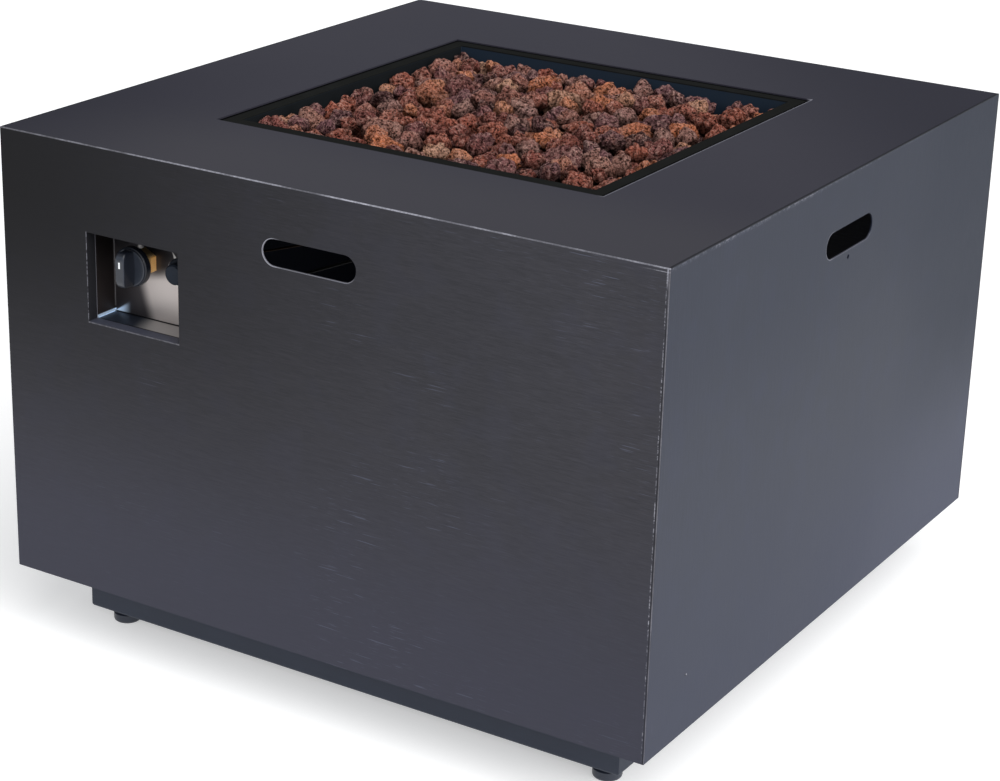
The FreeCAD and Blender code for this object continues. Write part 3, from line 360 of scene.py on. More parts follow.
def sideCoat():
    # The two side panels: brushed upright, lighter and bluer as painted light of the lit side, with painted
    # shade towards the top, the far end and the low front, ragged bright edges and one small pit.
    f = Finish("coatSide", Metallic=coat["metal"], Specular_IOR_Level=coat["specular"])
    # The lighter, bluer tint is painted light: the same coat as the front, as it shows on the lit side.
    colour, rough = brushed(f, 2, (1.04, 1.17, 1.36), 1.1)
    colour = scratched(f, colour, 2, 0.16, f.z.step(topZ - 0.030, topZ) * 0.5)
    # Painted shade: towards the top at the far end, at the low front, over the far end and along the top.
    colour = cornerShade(f, colour, 0.72, (0.54, 0.10), f.y, (0.60, -1.2), (0.002, 0.007, 0.022))
    colour = f.blend(f.z.step(0.34, 0.10) * f.y.step(0.30, -0.10) * 0.27, colour, (0.004, 0.006, 0.010))
    colour = f.blend(f.y.step(0.08, 0.34) * f.z.step(0.14, 0.34) * 0.85, colour, (0.002, 0.007, 0.022))
    colour = f.blend(f.z.step(0.34, 0.44) * 0.12, colour, (0.002, 0.007, 0.022))
    # Ragged bright edges: bare metal and painted highlight.
    colour = wornAndLitLines(f, colour, [(2, topZ - 0.0014, 0.0007, 0.34, 1.0, 1, 0.30, -0.20),
                                   (2, topZ - 0.0028, 0.0014, 0.14, 1.0, 1, 0.10, -0.25)])
    # A faint painted highlight beside each upright corner.
    for place in (-half, half):
        colour = f.blend(onLine(f.y, place, 0.0022) * 0.15, colour, (0.070, 0.066, 0.080))
    colour = f.blend(onLine(f.z, topZ, 0.0008) * 0.8, colour, coat["seam"])
    # One small pit, on the right panel only: a dark dot of painted shade with a painted highlight at its
    # edge.
    pit = f.distance(y=pitAt["y"], z=pitAt["z"])
    onRight = f.x.step(0.0, 0.1)
    colour = f.blend(pit.step(0.0013, 0.0009) * onRight, colour, (0.006, 0.006, 0.008))
    glint = f.distance(y=pitAt["y"] + 0.0018, z=pitAt["z"])
    colour = f.blend(glint.step(0.0009, 0.0005) * onRight, colour, (0.55, 0.52, 0.55))
    # Painted highlight on the slot's edge towards the front.
    return f.feed(Base_Color=slotRim(f, colour, f.y, -1.0, 0.30), Roughness=rough)


def deckCoat():
    # The deck's smoother coat: painted light towards the front, painted shade at the left and the far right,
    # and one bright edge at the opening's right, bare metal and painted highlight.
    f = Finish("coatDeck", Metallic=coat["metal"], Specular_IOR_Level=0.06)
    fine = f.noise(f.stretch(30.0, 900.0, 900.0), 1.0, 2.0, 0.5)
    cloud = f.noise(f.place, 5.0, 4.0, 0.6)
    tone = ((fine - 0.5) * 0.6 + (cloud - 0.5) * 0.9 + 0.5).clamp()
    colour = f.blend(tone, (0.039, 0.038, 0.053), (0.051, 0.049, 0.064))
    # Painted light towards the front, painted shade at the left and the far right.
    colour = f.blend(f.y.step(-0.15, -0.30) * 0.6, colour, (0.061, 0.059, 0.069))
    left = f.x.step(-0.12, -0.40) * f.y.step(0.16, -0.30)
    right = (f.x * 0.7 + f.y * 0.7).step(0.16, 0.42)
    colour = f.blend(left * 0.74 + right * 0.55, colour, (0.014, 0.014, 0.026))
    out = f.x.absolute().most(f.y.absolute()) - opening["half"]
    # A bright edge at the opening's right: bare metal and painted highlight.
    bareAndLit = onLine(out, 0.0, 0.0008) * f.x.step(0.205, 0.2115)
    colour = f.blend(bareAndLit * 0.8, colour, coat["wornAndLit"])
    colour = f.blend(onLine(out, deckHalf - opening["half"], 0.0008) * 0.35, colour, coat["seam"])
    f.bump(fine, 0.05, 0.0003)
    return f.feed(Base_Color=colour, Roughness=0.55 + 0.08 * (cloud - 0.5))


def panCoat():
    # Sooty pan that hardly shines: an olive-black rim, navy walls, painted shade on its left wall and a
    # painted shadow line in the gap where it meets the deck.
    f = Finish("panPaint", IOR=1.04)
    wall = f.z.step(panAt["rim"], panAt["underRim"])
    chalk = f.noise(f.place, 26.0, 5.0, 0.65).step(0.45, 0.80)
    colour = f.blend(wall, (0.0100, 0.0104, 0.0098), (0.0170, 0.0270, 0.0430))
    colour = f.blend(chalk * 0.20, colour, (0.030, 0.032, 0.034))
    # Painted shade on the left wall.
    left = f.x.step(panAt["leftFrom"], panAt["leftTo"]) * f.y.step(panAt["backFrom"], panAt["backTo"]) * wall
    colour = f.blend(left, colour, (0.0100, 0.0115, 0.0130))
    # Painted shadow: a black line in the gap where the pan meets the deck.
    out = f.x.absolute().most(f.y.absolute())
    colour = f.blend(out.step(panAt["lip"], panAt["gap"]), colour, (0.0010, 0.0010, 0.0012))
    f.bump(f.noise(f.place, 900.0, 2.0), 0.12, 0.0003)
    return f.feed(Base_Color=colour, Roughness=0.60 + 0.15 * chalk)


def recessSteel():
    # Bright-rolled stainless of the control recess, its reflections and shade painted into the colour: a
    # painted dark reflection to the left, painted shadow at the top, a painted light reflection at the lower
    # right, painted highlight spots, a painted glint low in the left corner that also glows, a painted
    # highlight ring by the igniter, dark folds of painted shade and a bright fold of painted highlight where
    # its sides meet.
    f = Finish("recessSteel", Metallic=0.72)
    line = f.noise(f.stretch(8.0, 600.0, 800.0), 1.0, 3.0, 0.6)
    # Painted reflection: dark to the left, light at the lower right of the plate.
    right = (f.x - 0.30 * (0.39 - f.z)).step(-0.2300, -0.2150)
    low = (f.z - 0.25 * (f.x + 0.20)).step(0.4020, 0.3860)
    colour = f.blend(right * low, (0.060, 0.054, 0.058), (0.54, 0.49, 0.47))
    # Painted shadow at the top.
    colour = f.blend(f.z.step(0.4040, 0.4160) * 0.8, colour, (0.016, 0.015, 0.018))
    # Painted highlight spots.
    spotA = ((f.x + 0.2212) * (f.x + 0.2212) * 0.45 + (f.z - 0.4165) * (f.z - 0.4165)) ** 0.5
    spotB = (((f.x + 0.1800) + (f.z - 0.4125) * 0.6).absolute() * 1.4 + (f.z - 0.4125).absolute() * 0.5)
    spots = spotA.step(0.0032, 0.0012).most(spotB.step(0.0042, 0.0014))
    colour = f.blend(spots * 0.85, colour, (0.78, 0.76, 0.74))
    # Painted shade and reflection on the left wall, darker higher up.
    onWall = f.x.step(window["left"] + 0.0012, window["left"] + 0.0004)
    wallShading = f.blend(f.z.step(0.42, 0.36), (0.020, 0.016, 0.016), (0.052, 0.042, 0.041))
    colour = f.blend(onWall, colour, wallShading)
    # Painted reflection on the floor: dark to the left, light to the right.
    onFloor = f.z.step(window["bottom"] + 0.0012, window["bottom"] + 0.0004)
    lightFloor = (f.x + 0.35 * (f.y - window["plate"])).step(-0.224, -0.204)
    floorReflection = f.blend(lightFloor, (0.040, 0.050, 0.075), (0.48, 0.465, 0.46))
    colour = f.blend(onFloor, colour, floorReflection)
    # Painted glint: a bright line low on the left wall, fanning out on the plate.
    over = f.z - window["bottom"]
    wallGlint = over.step(0.0034, 0.0022) * onWall
    run = (f.x - window["left"]).most(0.0)
    fan = (over - 0.36 * run).absolute() / (run * 0.40 + 0.0008)
    plateGlint = fan.step(1.0, 0.35) * run.step(0.0195, 0.0060)
    bright = wallGlint.most(plateGlint * (1.0 - onFloor)) * 0.9
    colour = f.blend(bright, colour, (0.62, 0.76, 0.95))
    # Painted highlight on the ring round the igniter, on its lit side.
    ring = f.distance(x=igniterAt["x"], z=igniterAt["z"])
    lit = ((f.x - igniterAt["x"]) * -0.6 - (f.z - igniterAt["z"]) * 0.8).step(0.000, 0.010)
    colour = f.blend(onLine(ring, igniterAt["ring"], 0.0012) * lit * 0.8, colour, (0.75, 0.74, 0.73))
    # Painted shade in the folds where the plate meets the floor and the floor meets the return.
    back = onLine(f.y, window["plate"], 0.0016)
    foldA = onLine(f.z, window["bottom"], 0.0011) * back
    foldB = onLine(f.y, window["lip"], 0.0022) * onFloor
    colour = f.blend(foldA.most(foldB), colour, (0.006, 0.006, 0.008))
    # Painted highlight on the fold at the back left corner.
    foldC = onLine(f.x, window["left"], 0.0010) * back * over.step(0.0040, 0.0060)
    colour = f.blend(foldC * 0.6, colour, (0.36, 0.35, 0.36))
    f.bump(line, 0.06, 0.0002)
    # The painted glint also glows.
    f.shader.inputs["Emission Strength"].default_value = 1.0
    glow = f.blend(bright * 0.28, (0.0, 0.0, 0.0), (0.62, 0.80, 1.0))
    return f.feed(Base_Color=colour, Roughness=0.36 + 0.10 * line, Emission_Color=glow)


def knobCoat():
    # Satin black-blue plastic with a white pointer stroke near the top of the grip's front, and painted shade
    # on its skirt and beside the bar.
    f = Finish("knobPlastic", Specular_IOR_Level=0.5)
    across = onLine(f.x, knobAt["x"], 0.0013)
    stroke = across * f.z.step(knobAt["strokeLow"], knobAt["strokeLow"] + 0.0006)
    stroke = stroke * f.z.step(knobAt["strokeHigh"], knobAt["strokeHigh"] - 0.0006)
    stroke = stroke * f.y.step(knobAt["behindFace"], knobAt["face"])
    cloud = f.noise(f.place, 90.0, 3.0).step(0.35, 0.7)
    # Painted shade: the skirt and the disc beside the bar are darkened.
    skirt = f.y.step(knobAt["skirtFrom"], knobAt["skirtTo"])
    grip = (f.x - knobAt["x"]).absolute().step(0.0066, 0.0052)
    grip = grip * f.y.step(knobAt["gripTop"], knobAt["gripFoot"]) * (1.0 - skirt)
    colour = f.blend(cloud, (0.015, 0.019, 0.028), (0.021, 0.026, 0.038))
    colour = f.blend((skirt * 0.8).most(grip * 0.8), colour, (0.004, 0.005, 0.009))
    f.bump(f.noise(f.place, 2200.0, 2.0), 0.06, 0.0001)
    return f.feed(Base_Color=f.blend(stroke, colour, (0.82, 0.84, 0.86)), Roughness=0.30 + 0.06 * cloud)


def nutBrass():
    # The knob's brass nut: a painted glow at its lower right, brown with painted shade above, a painted
    # highlight along one edge.
    f = Finish("nutBrass", Metallic=0.35, Specular_IOR_Level=0.6)
    line = f.noise(f.stretch(700.0, 6.0, 700.0), 1.0, 3.0, 0.6)
    # Painted shade on the upper part.
    up = (f.z - 0.5 * (f.x - knobAt["x"])).step(nutAt["shadeFrom"], nutAt["shadeTo"])
    colour = f.blend(line, (0.90, 0.55, 0.20), (1.0, 0.80, 0.46))
    colour = f.blend(up * 0.85, colour, (0.16, 0.105, 0.045))
    # Painted highlight along one edge.
    edge = (f.z - nutAt["cornerZ"] + 0.9 * (f.x - nutAt["cornerX"])).absolute().step(0.0016, 0.0006)
    colour = f.blend(edge * 0.8, colour, (1.0, 0.92, 0.72))
    f.bump(line, 0.10, 0.0002)
    # Painted glow: the lower right emits a warm light.
    f.shader.inputs["Emission Strength"].default_value = 1.0
    unlit = up.most(1.0 - f.x.step(nutAt["glowFrom"], nutAt["glowTo"]))
    glow = f.blend(unlit, (0.30, 0.130, 0.024), (0.0, 0.0, 0.0))
    return f.feed(Base_Color=colour, Roughness=0.26 + 0.14 * line, Emission_Color=glow)


def powderCoat(name, dark, mid, rough):
    # Fine orange-peel paint, a little dusty.
    f = Finish(name, Specular_IOR_Level=0.25)
    peel = f.noise(f.place, 900.0, 2.0)
    dust = f.noise(f.place, 14.0, 5.0, 0.6).step(0.40, 0.75)
    f.bump(peel, 0.15, 0.0003)
    return f.feed(Base_Color=f.blend(dust, dark, mid), Roughness=rough + 0.10 * dust)


def sheetMetal(name, dark, mid, rough, along=0, metal=1.0, lines=0.5):
    # Rolled bright metal with fine lines along one axis.
    f = Finish(name, Metallic=metal)
    scale = [700.0, 700.0, 700.0]
    scale[along] = 6.0
    line = f.noise(f.stretch(*scale), 1.0, 3.0, 0.6)
    cloud = f.noise(f.place, 18.0, 3.0)
    f.bump(line, 0.10, 0.0002)
    return f.feed(Base_Color=f.blend(line * lines + cloud * (1.0 - lines), dark, mid),
                  Roughness=rough + 0.14 * line - 0.06 * cloud)


def mouldedPlastic(name, dark, mid, rough, grain=1600.0, shine=0.5):
    f = Finish(name, Specular_IOR_Level=shine)
    cloud = f.noise(f.place, 60.0, 3.0).step(0.35, 0.7)
    f.bump(f.noise(f.place, grain, 2.0), 0.12, 0.0002)
    return f.feed(Base_Color=f.blend(cloud, dark, mid), Roughness=rough + 0.08 * cloud)


def lavaStone():
    # Porous volcanic rock: each rock's own tone, rust stains and soot, torn pores in two sizes painted dark
    # as shade in the holes, painted highlights on crests and crumbs, painted shade in hollows and on each
    # rock's lower side.
    f = Finish("lavaStone", Specular_IOR_Level=0.05)
    tone = f.attribute("rockTone")
    base = f.ramp(tone, [(0.0, (0.100, 0.040, 0.044)), (0.14, (0.300, 0.128, 0.150)),
                         (0.32, (0.360, 0.094, 0.072)), (0.50, (0.620, 0.165, 0.100)),
                         (0.66, (0.460, 0.250, 0.222)), (0.82, (0.960, 0.290, 0.120)),
                         (1.0, (0.920, 0.520, 0.350))])
    stain = f.noise(f.place, 48.0, 5.0, 0.7)
    colour = f.blend(stain.step(0.50, 0.66) * 0.35, base, (0.460, 0.135, 0.070))
    soot = f.noise(f.warp(1.0, 30.0), 52.0, 4.0, 0.6).step(0.50, 0.68)
    colour = f.blend(soot * 0.50, colour, (0.125, 0.060, 0.070))
    grain = f.noise(f.place, 900.0, 4.0, 0.75)
    # Painted highlight on the crests.
    crest = f.attribute("rockCrest")
    colour = f.blend((crest * 0.70 + 0.16) * grain.step(0.44, 0.62), colour, (0.88, 0.60, 0.50))
    wide = f.cells(f.warp(250.0, 420.0)).step(0.06, 0.42)
    small = f.cells(f.warp(640.0, 900.0)).step(0.12, 0.40)
    torn = f.noise(f.place, 330.0, 5.0, 0.72)
    pores = (wide.least(small * 0.55 + 0.45)) * torn.step(0.38, 0.52)
    # Painted highlight on small crumbs.
    colour = f.blend(torn.step(0.53, 0.64) * 0.45, colour, (0.95, 0.58, 0.48))
    # Painted shade in the pores, in the hollows and on each rock's lower side.
    colour = f.blend((1.0 - pores) * 0.96, colour, (0.010, 0.002, 0.001))
    colour = f.blend(f.attribute("rockHollow") * 0.95, colour, (0.010, 0.002, 0.001))
    colour = f.blend(f.attribute("rockShade"), colour, (0.006, 0.002, 0.001))
    f.bump(wide * 0.8 + small * 0.35 + torn * 2.6 + grain * 0.5, 1.0, 0.0040)
    return f.feed(Base_Color=colour, Roughness=0.84 + 0.12 * grain)


def paintNode(material, *names):
    for name in names:
        mesh = nodes[name].data
        mesh.materials.clear()
        mesh.materials.append(material)


finishes = {
    "front": frontCoat(),
    "back": backCoat(),
    "side": sideCoat(),
    "deck": deckCoat(),
    "plinth": powderCoat("plinthPaint", (0.026, 0.032, 0.049), (0.033, 0.040, 0.060), 0.55),
    "pan": panCoat(),
    "recess": recessSteel(),
    "zinc": sheetMetal("zincPlate", (0.42, 0.43, 0.45), (0.60, 0.61, 0.62), 0.38),
    "galvanised": sheetMetal("galvanisedSheet", (0.36, 0.38, 0.40), (0.52, 0.54, 0.56), 0.45, along=1,
                             metal=0.9, lines=0.2),
    "stainless": sheetMetal("stainlessSheet", (0.50, 0.48, 0.46), (0.66, 0.64, 0.62), 0.22, lines=0.6),
    "nut": nutBrass(),
    "brass": sheetMetal("turnedBrass", (0.86, 0.56, 0.22), (0.98, 0.74, 0.38), 0.30, along=1, metal=0.62),
    "alloy": sheetMetal("castAlloy", (0.38, 0.38, 0.38), (0.55, 0.55, 0.54), 0.5, along=2, metal=0.9,
                        lines=0.1),
    "copper": sheetMetal("agedCopper", (0.045, 0.030, 0.024), (0.080, 0.052, 0.040), 0.55, along=2),
    "knob": knobCoat(),
    "button": mouldedPlastic("buttonPlastic", (0.010, 0.014, 0.022), (0.018, 0.024, 0.036), 0.46, shine=0.12),
    "foot": mouldedPlastic("footPlastic", (0.022, 0.027, 0.042), (0.030, 0.036, 0.054), 0.34),
    "rubber": mouldedPlastic("hoseRubber", (0.010, 0.010, 0.010), (0.020, 0.020, 0.020), 0.6, grain=700.0),
    "sleeve": mouldedPlastic("batterySleeve", (0.06, 0.065, 0.07), (0.09, 0.095, 0.10), 0.35),
    "ceramic": mouldedPlastic("sootyCeramic", (0.26, 0.23, 0.20), (0.40, 0.36, 0.32), 0.45),
    "lava": lavaStone(),
}

paintNode(finishes["front"], "front_panel")
paintNode(finishes["back"], "back_panel")
paintNode(finishes["side"], "left_panel", "right_panel")
paintNode(finishes["deck"], "top_deck")
paintNode(finishes["plinth"], "plinth_rail_front", "plinth_rail_back", "plinth_rail_left",
          "plinth_rail_right", "base_plate")
paintNode(finishes["pan"], "burner_pan")
paintNode(finishes["recess"], "control_box")
paintNode(finishes["zinc"], "corner_post_front_left", "corner_post_front_right", "corner_post_back_left",
          "corner_post_back_right", "flange_nuts", "plinth_bolts", "foot_inserts", "shield_spacers",
          "control_box_nuts", "igniter_locknut", "burner_locknut", "inlet_locknut")
paintNode(finishes["galvanised"], "heat_shield")
paintNode(finishes["stainless"], "gas_burner", "pilot_bracket", "spark_electrode", "thermocouple",
          "air_shutter", "valve_stem")
paintNode(finishes["nut"], "valve_nut")
paintNode(finishes["brass"], "valve_body", "valve_cap", "valve_plug", "gas_orifice", "gas_inlet_fitting")
paintNode(finishes["alloy"], "air_mixer")
paintNode(finishes["copper"], "inlet_pipe", "thermocouple_lead")
paintNode(finishes["knob"], "control_knob")
paintNode(finishes["button"], "igniter_cap", "igniter_bezel", "igniter_body")
paintNode(finishes["foot"], "foot_front_left", "foot_front_right", "foot_back_left", "foot_back_right")
paintNode(finishes["rubber"], "burner_feed_hose", "ignition_lead")
paintNode(finishes["sleeve"], "igniter_battery")
paintNode(finishes["ceramic"], "spark_insulator")
paintNode(finishes["lava"], "lava_rocks")
print("finishes on", len(nodes), "nodes")


def meshObject(name, points, quads, material, smooth=True):
    mesh = bpy.data.meshes.new(name)
    mesh.from_pydata(points.reshape(-1, 3).tolist(), [], quads.reshape(-1, quads.shape[-1]).tolist())
    mesh.materials.append(material)
    mesh.polygons.foreach_set("use_smooth", np.full(len(mesh.polygons), smooth))
    piece = bpy.data.objects.new(name, mesh)
    bpy.context.scene.collection.objects.link(piece)
    return piece


# Rounded edges: a merged copy of a node with its flat faces made whole and a narrow bevel on its folds.

def softCopy(name, body, material, width, folds=35.0):
    source = nodes[name]
    work = bmesh.new()
    work.from_mesh(source.data)
    work.transform(source.matrix_world)
    bmesh.ops.remove_doubles(work, verts=work.verts, dist=1e-6)
    bmesh.ops.dissolve_limit(work, angle_limit=math.radians(0.5), verts=work.verts, edges=work.edges)
    mesh = bpy.data.meshes.new(name + "Soft")
    work.to_mesh(mesh)
    work.free()
    mesh.materials.clear()
    mesh.materials.append(material)
    piece = bpy.data.objects.new(name + "Soft", mesh)
    bpy.context.scene.collection.objects.link(piece)
    bevel = piece.modifiers.new("folds", "BEVEL")
    bevel.width = width
    bevel.segments = 2
    bevel.limit_method = "ANGLE"
    bevel.angle_limit = math.radians(folds)
    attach(piece, body)
    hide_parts(name)
    print(name, "copied with rounded edges,", len(mesh.polygons), "faces before the bevel")
    return piece


softCopy("front_panel", rootBody, finishes["front"], 0.0005)
softCopy("right_panel", rootBody, finishes["side"], 0.0005)
softCopy("left_panel", rootBody, finishes["side"], 0.0005)
softCopy("back_panel", rootBody, finishes["back"], 0.0005)
softCopy("top_deck", rootBody, finishes["deck"], 0.0005)


# Knob: a skirted disc with a dished face, and a bar across it that the fingers turn.

knob = dict(face=0.0176, faceDepth=0.0142, dish=0.0010, skirt=0.0070, cone=0.0180, turns=112,
            bar=0.0049, slope=0.05, barEdge=0.0010, barEnd=0.0170, foot=0.0160, square=8.0,
            taper=0.36, taperDepth=0.006)


def softLine(corners, cuts, steps=6):
    # A polyline whose inner corner p becomes the curve (1-t)^2 a + 2t(1-t) p + t^2 b, with a and b the places
    # one cut away from p on its two sides.
    corners = np.array(corners, float)
    t = np.linspace(0, 1, steps)[:, None]
    line = [corners[:1]]
    for k, cut in enumerate(cuts, 1):
        p = corners[k]
        a = p + (corners[k - 1] - p) * min(cut / np.linalg.norm(corners[k - 1] - p), 0.5)
        b = p + (corners[k + 1] - p) * min(cut / np.linalg.norm(corners[k + 1] - p), 0.5)
        line.append((1 - t) ** 2 * a + 2 * t * (1 - t) * p + t ** 2 * b)
    line.append(corners[-1:])
    return np.vstack(line)


def shell(rings):
    # Rings of equal count, stacked, with quads from each to the next.
    levels, count = rings.shape[:2]
    k, i = np.meshgrid(np.arange(levels - 1), np.arange(count), indexing="ij")
    j = (i + 1) % count
    quads = np.stack([k * count + i, (k + 1) * count + i, (k + 1) * count + j, k * count + j], -1)
    return rings.reshape(-1, 3), quads.reshape(-1, 4)


def knobBase(axis, front):
    # The disc, turned from its profile: point = (radius cos a, depth, radius sin a).
    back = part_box("control_knob")[1].y - front
    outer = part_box("control_knob")[1].x - axis[0]
    r = np.linspace(0, knob["face"] - 0.0012, 8)
    dished = np.stack([r, knob["faceDepth"] + knob["dish"] * (1 - (r / knob["face"]) ** 2) ** 2], 1)
    rim = softLine([dished[-1], (knob["face"], knob["faceDepth"]), (knob["cone"], back - knob["skirt"]),
                    (outer, back - knob["skirt"] + 0.0004), (outer, back), (0.0, back)],
                   [0.0010, 0.0010, 0.0007, 0.0006])
    profile = np.vstack([dished[:-1], rim])
    a = np.linspace(0, 2 * np.pi, knob["turns"], endpoint=False)
    radius, depth = profile[:, 0][:, None], profile[:, 1][:, None]
    rings = np.stack([axis[0] + radius * np.cos(a), front + depth + 0 * a, axis[1] + radius * np.sin(a)], -1)
    return shell(rings)


def knobBar(axis, front):
    # The grip bar: rounded oblongs (|u/a|^p + |w/b|^p = 1) from a flat front down into the disc:
    # a = bar + slope * depth, b = end * (1 - taper (1 - depth / taper depth)^3).
    edge = knob["barEdge"]
    turn = np.linspace(0, np.pi / 2, 6)
    flank = np.linspace(edge * 1.3, knob["foot"], 18)
    depth = np.concatenate([np.zeros(3), edge * (1 - np.cos(turn)), flank])
    inset = np.concatenate([np.full(3, edge), edge * (1 - np.sin(turn)), np.zeros(18)])
    scale = np.concatenate([[0.0, 0.5, 0.9], np.ones(24)])
    a = knob["bar"] + knob["slope"] * depth
    b = knob["barEnd"] * (1 - knob["taper"] * (1 - np.minimum(depth / knob["taperDepth"], 1)) ** 3)
    turns = np.linspace(0, 2 * np.pi, 96, endpoint=False)
    c, s = np.cos(turns), np.sin(turns)
    power = 2 / knob["square"]
    u = np.sign(c) * np.abs(c) ** power
    w = np.sign(s) * np.abs(s) ** power
    rings = np.stack([axis[0] + (scale * (a - inset))[:, None] * u, front + depth[:, None] + 0 * u,
                      axis[1] + (scale * (b - inset))[:, None] * w], -1)
    closing = rings[-1:].copy()
    closing[..., 0] = axis[0]
    closing[..., 2] = axis[1]
    return shell(np.concatenate([rings, closing]))


def facingOut(mesh):
    work = bmesh.new()
    work.from_mesh(mesh)
    bmesh.ops.remove_doubles(work, verts=work.verts, dist=1e-7)
    bmesh.ops.recalc_face_normals(work, faces=work.faces)
    work.to_mesh(mesh)
    work.free()


def makeKnob():
    low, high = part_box("control_knob")
    axis = ((low.x + high.x) / 2, (low.z + high.z) / 2)
    for name, (points, quads) in (("knobDisc", knobBase(axis, low.y)), ("knobBar", knobBar(axis, low.y))):
        piece = meshObject(name, points, quads, finishes["knob"])
        facingOut(piece.data)
        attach(piece, "knob")
        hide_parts("control_knob")
    print("knob made")


makeKnob()


# Lava rock: every rock of the frame becomes a porous lump on the same centre.

rock = dict(fine=18, coarse=6, each=48, swell=1.25, sharp=24.0, lumps=0.12, folds=0.24, ridges=0.10,
            grain=0.05, noises=(0.0150, 0.0105, 0.0056, 0.0026), stretch=0.36, tones=(1.1, 1.15),
            showFrom=0.486, shade=0.92, wall=0.1940, top=0.5188, seed=5)
lattice = dict(x=73856093, y=19349663, z=83492791, seed=2654435761, mix=1274126177)


def cubeSphere(n):
    # Unit directions on a cube's six n by n grids, pushed out to the sphere, and the quads between them:
    # direction = normalise(face corner + s * side + t * up), with s and t equal steps of angle.
    steps = np.tan(np.linspace(-math.pi / 4, math.pi / 4, n + 1))
    s, t = np.meshgrid(steps, steps, indexing="ij")
    ones = np.ones_like(s)
    sides = [np.stack(a, -1) for a in ((ones, s, t), (-ones, -s, t), (-s, ones, t), (s, -ones, t),
                                       (-t, s, ones), (t, s, -ones))]
    points = np.concatenate([a.reshape(-1, 3) for a in sides])
    k = (n + 1) * (n + 1)
    i, j = np.meshgrid(np.arange(n), np.arange(n), indexing="ij")
    corner = (i * (n + 1) + j).ravel()
    quad = np.stack([corner, corner + n + 1, corner + n + 2, corner + 1], 1)
    quads = np.concatenate([quad + f * k for f in range(6)])
    points, same = np.unique(np.round(points / np.linalg.norm(points, axis=1)[:, None], 9), axis=0,
                             return_inverse=True)
    return points, same.reshape(-1)[quads]


def rockIslands(mesh):
    # Each rock of the frame's mesh as (corners, outward planes). Corners that share a place are one corner.
    co = np.zeros(len(mesh.vertices) * 3)
    mesh.vertices.foreach_get("co", co)
    places, index = np.unique(np.round(co.reshape(-1, 3), 6), axis=0, return_inverse=True)
    mesh.calc_loop_triangles()
    tris = np.zeros(len(mesh.loop_triangles) * 3, int)
    mesh.loop_triangles.foreach_get("vertices", tris)
    tris = index.reshape(-1)[tris.reshape(-1, 3)]
    label = np.arange(len(places))
    while True:  # the smallest label spreads over each island
        low = label[tris].min(1)
        new = label.copy()
        np.minimum.at(new, tris.ravel(), np.repeat(low, 3))
        if (new == label).all():
            break
        label = new
    owner = label[tris[:, 0]]
    return [places[tris[owner == k]] for k in np.unique(owner)]


def hashNoise(p, seed):
    # Smooth value noise: random numbers on a unit lattice, blended by 3t^2 - 2t^3 along each axis. Each
    # number is hashed from its cell and the seed by the large odd factors in lattice.
    cell = np.floor(p).astype(np.int64)
    t = p - cell
    t = t * t * (3 - 2 * t)
    total = np.zeros(p.shape[:-1])
    for dx in (0, 1):
        for dy in (0, 1):
            for dz in (0, 1):
                q = cell + (dx, dy, dz)
                h = q[..., 0] * lattice["x"] ^ q[..., 1] * lattice["y"] ^ q[..., 2] * lattice["z"]
                h = h ^ seed * lattice["seed"]
                h = (h ^ (h >> 13)) * lattice["mix"] & 0x7FFFFFFF
                value = ((h ^ (h >> 16)) & 0xFFFF) / 65535.0
                wx = t[..., 0] if dx else 1 - t[..., 0]
                wy = t[..., 1] if dy else 1 - t[..., 1]
                wz = t[..., 2] if dz else 1 - t[..., 2]
                total += value * wx * wy * wz
    return total * 2 - 1


def rockShape(tri, directions, draw):
    # Radius over direction: a soft minimum of the distances to the rock's own planes rounds its edges; it is
    # swollen and stretched, then torn by four noises n1..n4 of falling size:
    # r = (sum (distance / facing)^-p)^(-1/p) * stretch * (1 + lumps n1 - folds (1 - |n2|)^5
    # + ridges (1 - 2|n3|) + grain n4).
    centre = (tri.min((0, 1)) + tri.max((0, 1))) / 2
    a, b, c = tri[:, 0], tri[:, 1], tri[:, 2]
    normal = np.cross(b - a, c - a)
    normal /= np.linalg.norm(normal, axis=1)[:, None]
    gap = np.einsum("ij,ij->i", normal, a - centre)
    normal[gap < 0] *= -1
    gap = np.abs(gap)
    facing = np.maximum(directions @ normal.T, 1e-3)
    power = rock["sharp"]
    radius = ((facing / gap) ** power).sum(1) ** (-1 / power)
    radius *= rock["swell"]
    mean = radius.mean()
    axes = np.linalg.qr(draw.normal(size=(3, 3)))[0]
    long = 1 + rock["stretch"] * draw.uniform(-0.7, 1.0, 3)
    radius /= np.sqrt((((directions @ axes) / long) ** 2).sum(1))
    seed = int(draw.integers(1, 9999))
    at = directions * mean + seed * 0.37
    n1, n2, n3, n4 = (hashNoise(at / size, seed + k) for k, size in enumerate(rock["noises"]))
    fold = (1 - np.abs(n2)) ** 5
    ridge = 1 - 2 * np.abs(n3)
    radius *= 1 + rock["lumps"] * n1 - rock["folds"] * fold + rock["ridges"] * ridge + rock["grain"] * n4
    shape = centre + directions * radius[:, None]
    shape[:, 2] -= max(shape[:, 2].max() - rock["top"], 0)
    # Painted light kept at each corner: hollow is painted shade in the folds, crest a painted highlight on
    # ridges, shade a painted shade on the lower side.
    hollow = np.clip(fold * 0.9 - ridge * 0.5 - 0.12, 0, 1)
    crest = np.clip(ridge * 0.8 + n1 * 0.6 - 0.25, 0, 1) * (1 - hollow)
    rise = (shape[:, 2] - centre[2]) / mean
    shade = np.clip(0.48 - rise, 0, 1) ** 0.75 * rock["shade"]
    return shape, hollow, crest, shade


